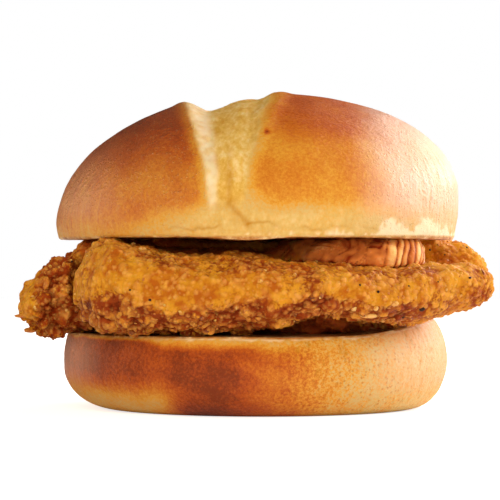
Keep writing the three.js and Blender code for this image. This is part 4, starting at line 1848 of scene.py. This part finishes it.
@dataclass
class Scatter:
    """Bits strewn over the strips by one Geometry Nodes tree."""

    name: str
    mask: str
    finish: Finish
    spacing: float
    density: float
    smallest: tuple[float, float, float]
    largest: tuple[float, float, float]
    sink: float
    lumpiness: float
    lump_size: float
    seed: int
    facets: int = 2
    tilt: float = 0.7
    spin_seed: int = 5
    sockets: tuple[tuple[str, str], ...] = (
        ("Geometry", "Geometry"),
        ("Spacing", "Float"),
        ("Density", "Float"),
        ("Sink", "Float"),
        ("Lumpiness", "Float"),
        ("Lump Size", "Float"),
        ("Smallest", "Vector"),
        ("Largest", "Vector"),
        ("Seed", "Int"),
        ("Facets", "Int"),
        ("Finish", "Material"),
    )

    def tree(self) -> bpy.types.NodeTree:
        """Returns the node tree, with a named input for each size."""
        tree = bpy.data.node_groups.new("strew_" + self.name, "GeometryNodeTree")
        graph = Graph(tree)
        for name, kind in self.sockets:
            tree.interface.new_socket(name, in_out="INPUT", socket_type="NodeSocket" + kind)
        tree.interface.new_socket("Geometry", in_out="OUTPUT", socket_type="NodeSocketGeometry")
        given = graph.add("NodeGroupInput").outputs
        share = graph.add("GeometryNodeInputNamedAttribute", {"Name": self.mask}, data_type="FLOAT")
        spread = graph.add(
            "GeometryNodeDistributePointsOnFaces",
            {
                "Mesh": given["Geometry"],
                "Distance Min": given["Spacing"],
                "Density Max": given["Density"],
                "Density Factor": share.outputs[0],
                "Seed": given["Seed"],
            },
            distribute_method="POISSON",
        )
        drop = self.scaled(graph, spread.outputs["Normal"], given["Sink"])
        sunk = graph.add("GeometryNodeSetPosition", {"Geometry": spread.outputs["Points"], "Offset": drop})
        tint = graph.add("FunctionNodeRandomValue", {"Seed": given["Seed"]}, data_type="FLOAT")
        tinted = graph.add(
            "GeometryNodeStoreNamedAttribute",
            {"Geometry": sunk.outputs[0], "Name": "tint", "Value": tint.outputs[1]},
            data_type="FLOAT",
            domain="POINT",
        )
        size = graph.add(
            "FunctionNodeRandomValue",
            {0: given["Smallest"], 1: given["Largest"], "Seed": given["Seed"]},
            data_type="FLOAT_VECTOR",
        )
        spin = graph.add(
            "FunctionNodeRandomValue",
            {0: (0, 0, 0), 1: (self.tilt, self.tilt, TURN), "Seed": self.spin_seed},
            data_type="FLOAT_VECTOR",
        )
        turned = graph.add(
            "FunctionNodeRotateRotation",
            {"Rotation": spread.outputs["Rotation"], "Rotate By": spin.outputs[0]},
            rotation_space="LOCAL",
        )
        ball = graph.add("GeometryNodeMeshIcoSphere", {"Radius": 1.0, "Subdivisions": given["Facets"]})
        strewn = graph.add(
            "GeometryNodeInstanceOnPoints",
            {
                "Points": tinted.outputs[0],
                "Instance": ball.outputs["Mesh"],
                "Rotation": turned.outputs[0],
                "Scale": size.outputs[0],
            },
        )
        real = graph.add("GeometryNodeRealizeInstances", {"Geometry": strewn.outputs[0]})
        scale = graph.math("DIVIDE", 1, given["Lump Size"])
        lumps = graph.add("ShaderNodeTexNoise", {"Scale": scale, "Detail": 1})
        inputs = {0: lumps.outputs["Color"], 1: (0.5, 0.5, 0.5)}
        centred = graph.add("ShaderNodeVectorMath", inputs, operation="SUBTRACT").outputs[0]
        offset = self.scaled(graph, centred, given["Lumpiness"])
        bent = graph.add("GeometryNodeSetPosition", {"Geometry": real.outputs[0], "Offset": offset})
        soft = graph.add("GeometryNodeSetShadeSmooth", {"Geometry": bent.outputs[0]})
        inputs = {"Geometry": soft.outputs[0], "Material": given["Finish"]}
        done = graph.add("GeometryNodeSetMaterial", inputs)
        graph.add("NodeGroupOutput", {0: done.outputs[0]})
        return tree

    def scaled(self, graph: Graph, vector: object, factor: object) -> bpy.types.NodeSocket:
        """Multiplies a vector by a factor."""
        return graph.add("ShaderNodeVectorMath", {0: vector, 3: factor}, operation="SCALE").outputs[0]

    def build(self, host: Surface, middle: np.ndarray) -> bpy.types.Object:
        """Strews the bits over a surface.

        Args:
            host: the surface that they lie on.
            middle: the bun's middle in the frame.

        Returns:
            One plain mesh of all the bits.
        """
        made = host.object(self.name, middle)
        strew = made.modifiers.new("strew", "NODES")
        strew.node_group = self.tree()
        values = {
            "Spacing": self.spacing * MM,
            "Density": self.density / MM**2,
            "Smallest": [s * MM for s in self.smallest],
            "Largest": [s * MM for s in self.largest],
            "Sink": -self.sink * MM,
            "Lumpiness": self.lumpiness * MM,
            "Lump Size": self.lump_size * MM,
            "Seed": self.seed,
            "Facets": self.facets,
            "Finish": self.finish.material(),
        }
        for item in strew.node_group.interface.items_tree:
            if item.in_out == "INPUT" and item.name in values:
                strew[item.identifier] = values[item.name]
        mesh = evaluated_mesh(made)
        made.modifiers.remove(strew)
        made.data = mesh
        made.data.name = self.name
        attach(made, "root")
        return made


# Bits that stand out from the front. Each row of the three tables has X and Z where the camera's line of
# sight crosses the bun's middle plane, then width and height.
PEPPER_SPOTS = (
    (-50.0, 39.3, 0.7, 0.6),
    (-34.3, 31.7, 0.6, 0.5),
    (-28.9, 29.0, 0.8, 0.6),
    (27.8, 33.0, 0.5, 0.7),
    (32.7, 31.2, 0.8, 0.7),
    (41.0, 32.8, 0.4, 0.5),
    (48.9, 33.9, 0.4, 0.5),
    (57.5, 35.0, 0.8, 0.6),
    (46.7, 42.5, 0.6, 0.6),
    (50.7, 41.2, 0.5, 0.4),
    (44.5, 26.6, 1.5, 1.3),
    (39.4, 24.4, 0.6, 0.8),
)
FLAKE_SPOTS = (
    (-64.3, 28.2, 2.8, 0.8),
    (-63.3, 24.7, 4.4, 1.0),
    (-61.2, 20.8, 3.2, 1.4),
    (-58.7, 37.4, 2.2, 2.0),
    (-57.0, 33.4, 1.8, 3.4),
    (-52.6, 30.6, 3.0, 2.2),
)
GRANULE_SPOTS = (
    (26.2, 26.8, 1.6, 1.7),
    (32.1, 26.8, 1.5, 1.5),
    (34.0, 23.6, 1.4, 1.4),
    (30.2, 24.7, 4.6, 1.2),
    (37.2, 28.0, 2.0, 1.4),
    (-31.0, 42.7, 2.2, 1.2),
    (-33.4, 44.0, 1.4, 1.2),
)


@dataclass(frozen=True)
class SeenBits:
    """A few bits set where they show from the camera."""

    name: str
    finish: Finish
    spots: tuple[tuple[float, float, float, float], ...]
    sink: float
    lumpiness: float = 0.25

    def build(self, host: Surface, middle: np.ndarray) -> bpy.types.Object:
        """Sets the bits on a surface, each where its line of sight meets it.

        Args:
            host: the surface that they lie on.
            middle: the bun's middle in the frame.

        Returns:
            One mesh of all the bits.
        """
        tree = BVHTree.FromPolygons(host.points.tolist(), host.quads.tolist())
        ball = bmesh.new()
        bmesh.ops.create_icosphere(ball, subdivisions=3, radius=1)
        ball.verts.ensure_lookup_table()
        unit = np.array([vertex.co[:] for vertex in ball.verts])
        faces = np.array([[vertex.index for vertex in face.verts] for face in ball.faces])
        ball.free()
        eye = np.array(Studio.camera_place)
        points, triangles, tints = [], [], []
        for number, (x, z, width, height) in enumerate(self.spots):
            way = np.array([x, 0, z]) - eye
            hit, _, _, _ = tree.ray_cast(Vector(eye), Vector(way).normalized())
            if hit is None:
                continue
            bulge = 1 + self.lumpiness * noise(unit + 7.0 * number, 0.8, 91)
            size = np.array([width, min(width, height), height]) / 2
            triangles.append(faces + sum(len(part) for part in points))
            points.append(np.array(hit) + np.array([0, self.sink, 0]) + unit * bulge[:, None] * size)
            tints.append(np.full(len(unit), 0.06 * (number % 3)))
        masks = {"tint": np.concatenate(tints)}
        bits = Surface(np.concatenate(points), np.zeros((0, 4), int), np.concatenate(triangles), masks)
        made = bits.object(self.name, middle)
        made.data.materials.append(self.finish.material())
        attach(made, "root")
        return made


def joined(surfaces: list[Surface]) -> Surface:
    """Puts several surfaces of quads into one.

    Args:
        surfaces: surfaces with the same masks.

    Returns:
        One surface.
    """
    starts = np.cumsum([0] + [len(s.points) for s in surfaces[:-1]])
    return Surface(
        np.concatenate([s.points for s in surfaces]),
        np.concatenate([s.quads + start for s, start in zip(surfaces, starts)]),
        masks={key: np.concatenate([s.masks[key] for s in surfaces]) for key in surfaces[0].masks},
    )


def dressed(made: bpy.types.Object, finish: Finish, node: str) -> bpy.types.Object:
    """Gives a piece its material and puts it in a node's place.

    Args:
        made: the piece.
        finish: its finish.
        node: the CAD node that it stands for.

    Returns:
        The same piece.
    """
    made.data.materials.append(finish.material())
    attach(made, "root")
    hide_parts(node)
    return made


# ---------- studio ----------


@dataclass(frozen=True)
class Softbox:
    """A square soft light, aimed at a point."""

    name: str
    place: tuple[float, float, float]
    size: float
    watts: float
    colour: str
    aim: tuple[float, float, float] = (0, 0, 40)
    glossy: bool = True

    def build(self) -> bpy.types.Object:
        """Returns the lamp, with its places in millimetres turned into metres."""
        lamp = bpy.data.lights.new(self.name, "AREA")
        lamp.shape = "SQUARE"
        lamp.size = self.size * MM
        lamp.energy = self.watts
        lamp.color = linear(self.colour)[:3]
        made = bpy.data.objects.new(self.name, lamp)
        bpy.context.scene.collection.objects.link(made)
        made.visible_glossy = self.glossy
        made.location = Vector(self.place) * MM
        made.rotation_euler = (Vector(self.aim) - Vector(self.place)).to_track_quat("-Z", "Y").to_euler()
        return made


@dataclass
class Studio:
    """Floor, lamps, white surroundings and the camera."""

    middle: np.ndarray
    camera_place: tuple[float, float, float] = (-1.9, -700.0, 42.5)
    view_width: float = 135.0
    sensor: float = 36.0
    floor_size: float = 3000.0
    room_light: str = "ffe6cc"
    room_white: str = "ffffff"
    room_strength: float = 0.29
    room_to_camera: float = 0.71
    room_mirrored_less: float = 0.24
    softboxes: tuple[Softbox, ...] = (
        Softbox("key_right", (580, 210, 260), 560, 4.6, "fff0ea"),
        Softbox("back_right", (400, 545, 330), 420, 2.1, "ffeae0"),
        Softbox("fill_front", (-60, -720, 290), 560, 3.6, "fff2e0", glossy=False),
        Softbox("side_left", (-620, 260, 110), 420, 0.8, "ffdabb"),
    )

    def build(self) -> None:
        """Builds the studio and makes its camera the scene's."""
        half = self.floor_size / 2 * MM
        mesh = bpy.data.meshes.new("floor")
        corners = [(-half, -half, 0), (half, -half, 0), (half, half, 0), (-half, half, 0)]
        mesh.from_pydata(corners, [], [(0, 1, 2, 3)])
        mesh.materials.append(PalePaint().material())
        floor = bpy.data.objects.new("floor", mesh)
        bpy.context.scene.collection.objects.link(floor)
        for softbox in self.softboxes:
            softbox.build()
        self.surroundings()
        self.camera()

    def surroundings(self) -> None:
        """Makes the world white to look at and softer as a light."""
        world = bpy.data.worlds.new("white_room")
        world.use_nodes = True
        graph = Graph(world.node_tree)
        seen = graph.add("ShaderNodeLightPath").outputs["Is Camera Ray"]
        mirrored = graph.add("ShaderNodeLightPath").outputs["Is Glossy Ray"]
        strength = graph.plus(graph.times(seen, self.room_to_camera), self.room_strength)
        strength = graph.math("SUBTRACT", strength, graph.times(mirrored, self.room_mirrored_less))
        tint = graph.blend(seen, linear(self.room_light), linear(self.room_white))
        shade = graph.add("ShaderNodeBackground", {"Color": tint, "Strength": strength})
        graph.add("ShaderNodeOutputWorld", {"Surface": shade.outputs[0]})
        bpy.context.scene.world = world
        bpy.context.scene.view_settings.view_transform = "Standard"

    def camera(self) -> None:
        """Places the camera level, in front of the burger."""
        lens = bpy.data.cameras.new("camera")
        lens.sensor_width = self.sensor
        lens.lens = self.sensor * -self.camera_place[1] / self.view_width
        made = bpy.data.objects.new("camera", lens)
        bpy.context.scene.collection.objects.link(made)
        made.location = Vector((np.array(self.camera_place) + self.middle) * MM)
        made.rotation_euler = (TURN / 4, 0, 0)
        bpy.context.scene.camera = made


# ---------- the burger ----------


def scatters() -> list[Scatter]:
    """Returns the grains, the clumps and the pepper that are strewn over the strips."""
    grains_over = Scatter(
        name="breading_grains",
        mask="grain",
        finish=Grain(),
        spacing=1.6,
        density=0.12,
        smallest=(0.3, 0.3, 0.25),
        largest=(0.6, 0.6, 0.5),
        sink=0.15,
        lumpiness=0.45,
        lump_size=0.8,
        seed=3,
    )
    clumps = Scatter(
        name="breading_clumps",
        mask="clump",
        finish=Grain("breading_clump", "c8862f", "7a3810"),
        spacing=2.6,
        density=0.1,
        smallest=(0.5, 0.5, 0.4),
        largest=(1.0, 1.0, 0.7),
        sink=0.35,
        lumpiness=1.0,
        lump_size=1.2,
        seed=4,
        facets=3,
    )
    pepper = Scatter(
        name="pepper_specks",
        mask="pepper",
        finish=Pepper(),
        spacing=6.0,
        density=0.01,
        smallest=(0.15, 0.15, 0.1),
        largest=(0.35, 0.35, 0.2),
        sink=-0.05,
        lumpiness=0.2,
        lump_size=0.4,
        seed=9,
    )
    return [grains_over, clumps, pepper]


def seen_bits() -> list[SeenBits]:
    """Returns the pepper, the flakes and the granules that are set one by one."""
    flake = Grain("brown_flake", "c4762c", "8a3c12")
    granule = Grain("pale_grain", "f2c274", "d8923e")
    return [
        SeenBits("pepper_front", Pepper(), PEPPER_SPOTS, sink=0.0),
        SeenBits("tip_flakes", flake, FLAKE_SPOTS, sink=0.3, lumpiness=0.5),
        SeenBits("pale_granules", granule, GRANULE_SPOTS, sink=0.1),
    ]


def main() -> None:
    """Builds the studio and the burger."""
    logging.basicConfig(level=logging.INFO, format="%(name)s: %(message)s")
    middle = bun_middle()
    Studio(middle).build()
    strips = [
        ChickenStrip(middle, StripPlace.FRONT, 101, voxel=0.36),
        ChickenStrip(middle, StripPlace.MIDDLE, 201, voxel=0.4),
        ChickenStrip(middle, StripPlace.BACK, 301, voxel=0.42),
    ]
    pieces = [BunHeel.from_frame(middle).build(), BunCrown.from_frame(middle).build()]
    pieces += [strip.build() for strip in strips]
    host = joined([strip.surface for strip in strips])
    pieces += [bits.build(host, middle) for bits in scatters() + seen_bits()]
    for piece in pieces:
        log.info("%s: %d faces", piece.name, len(piece.data.polygons))


if __name__ == "__main__":
    main()
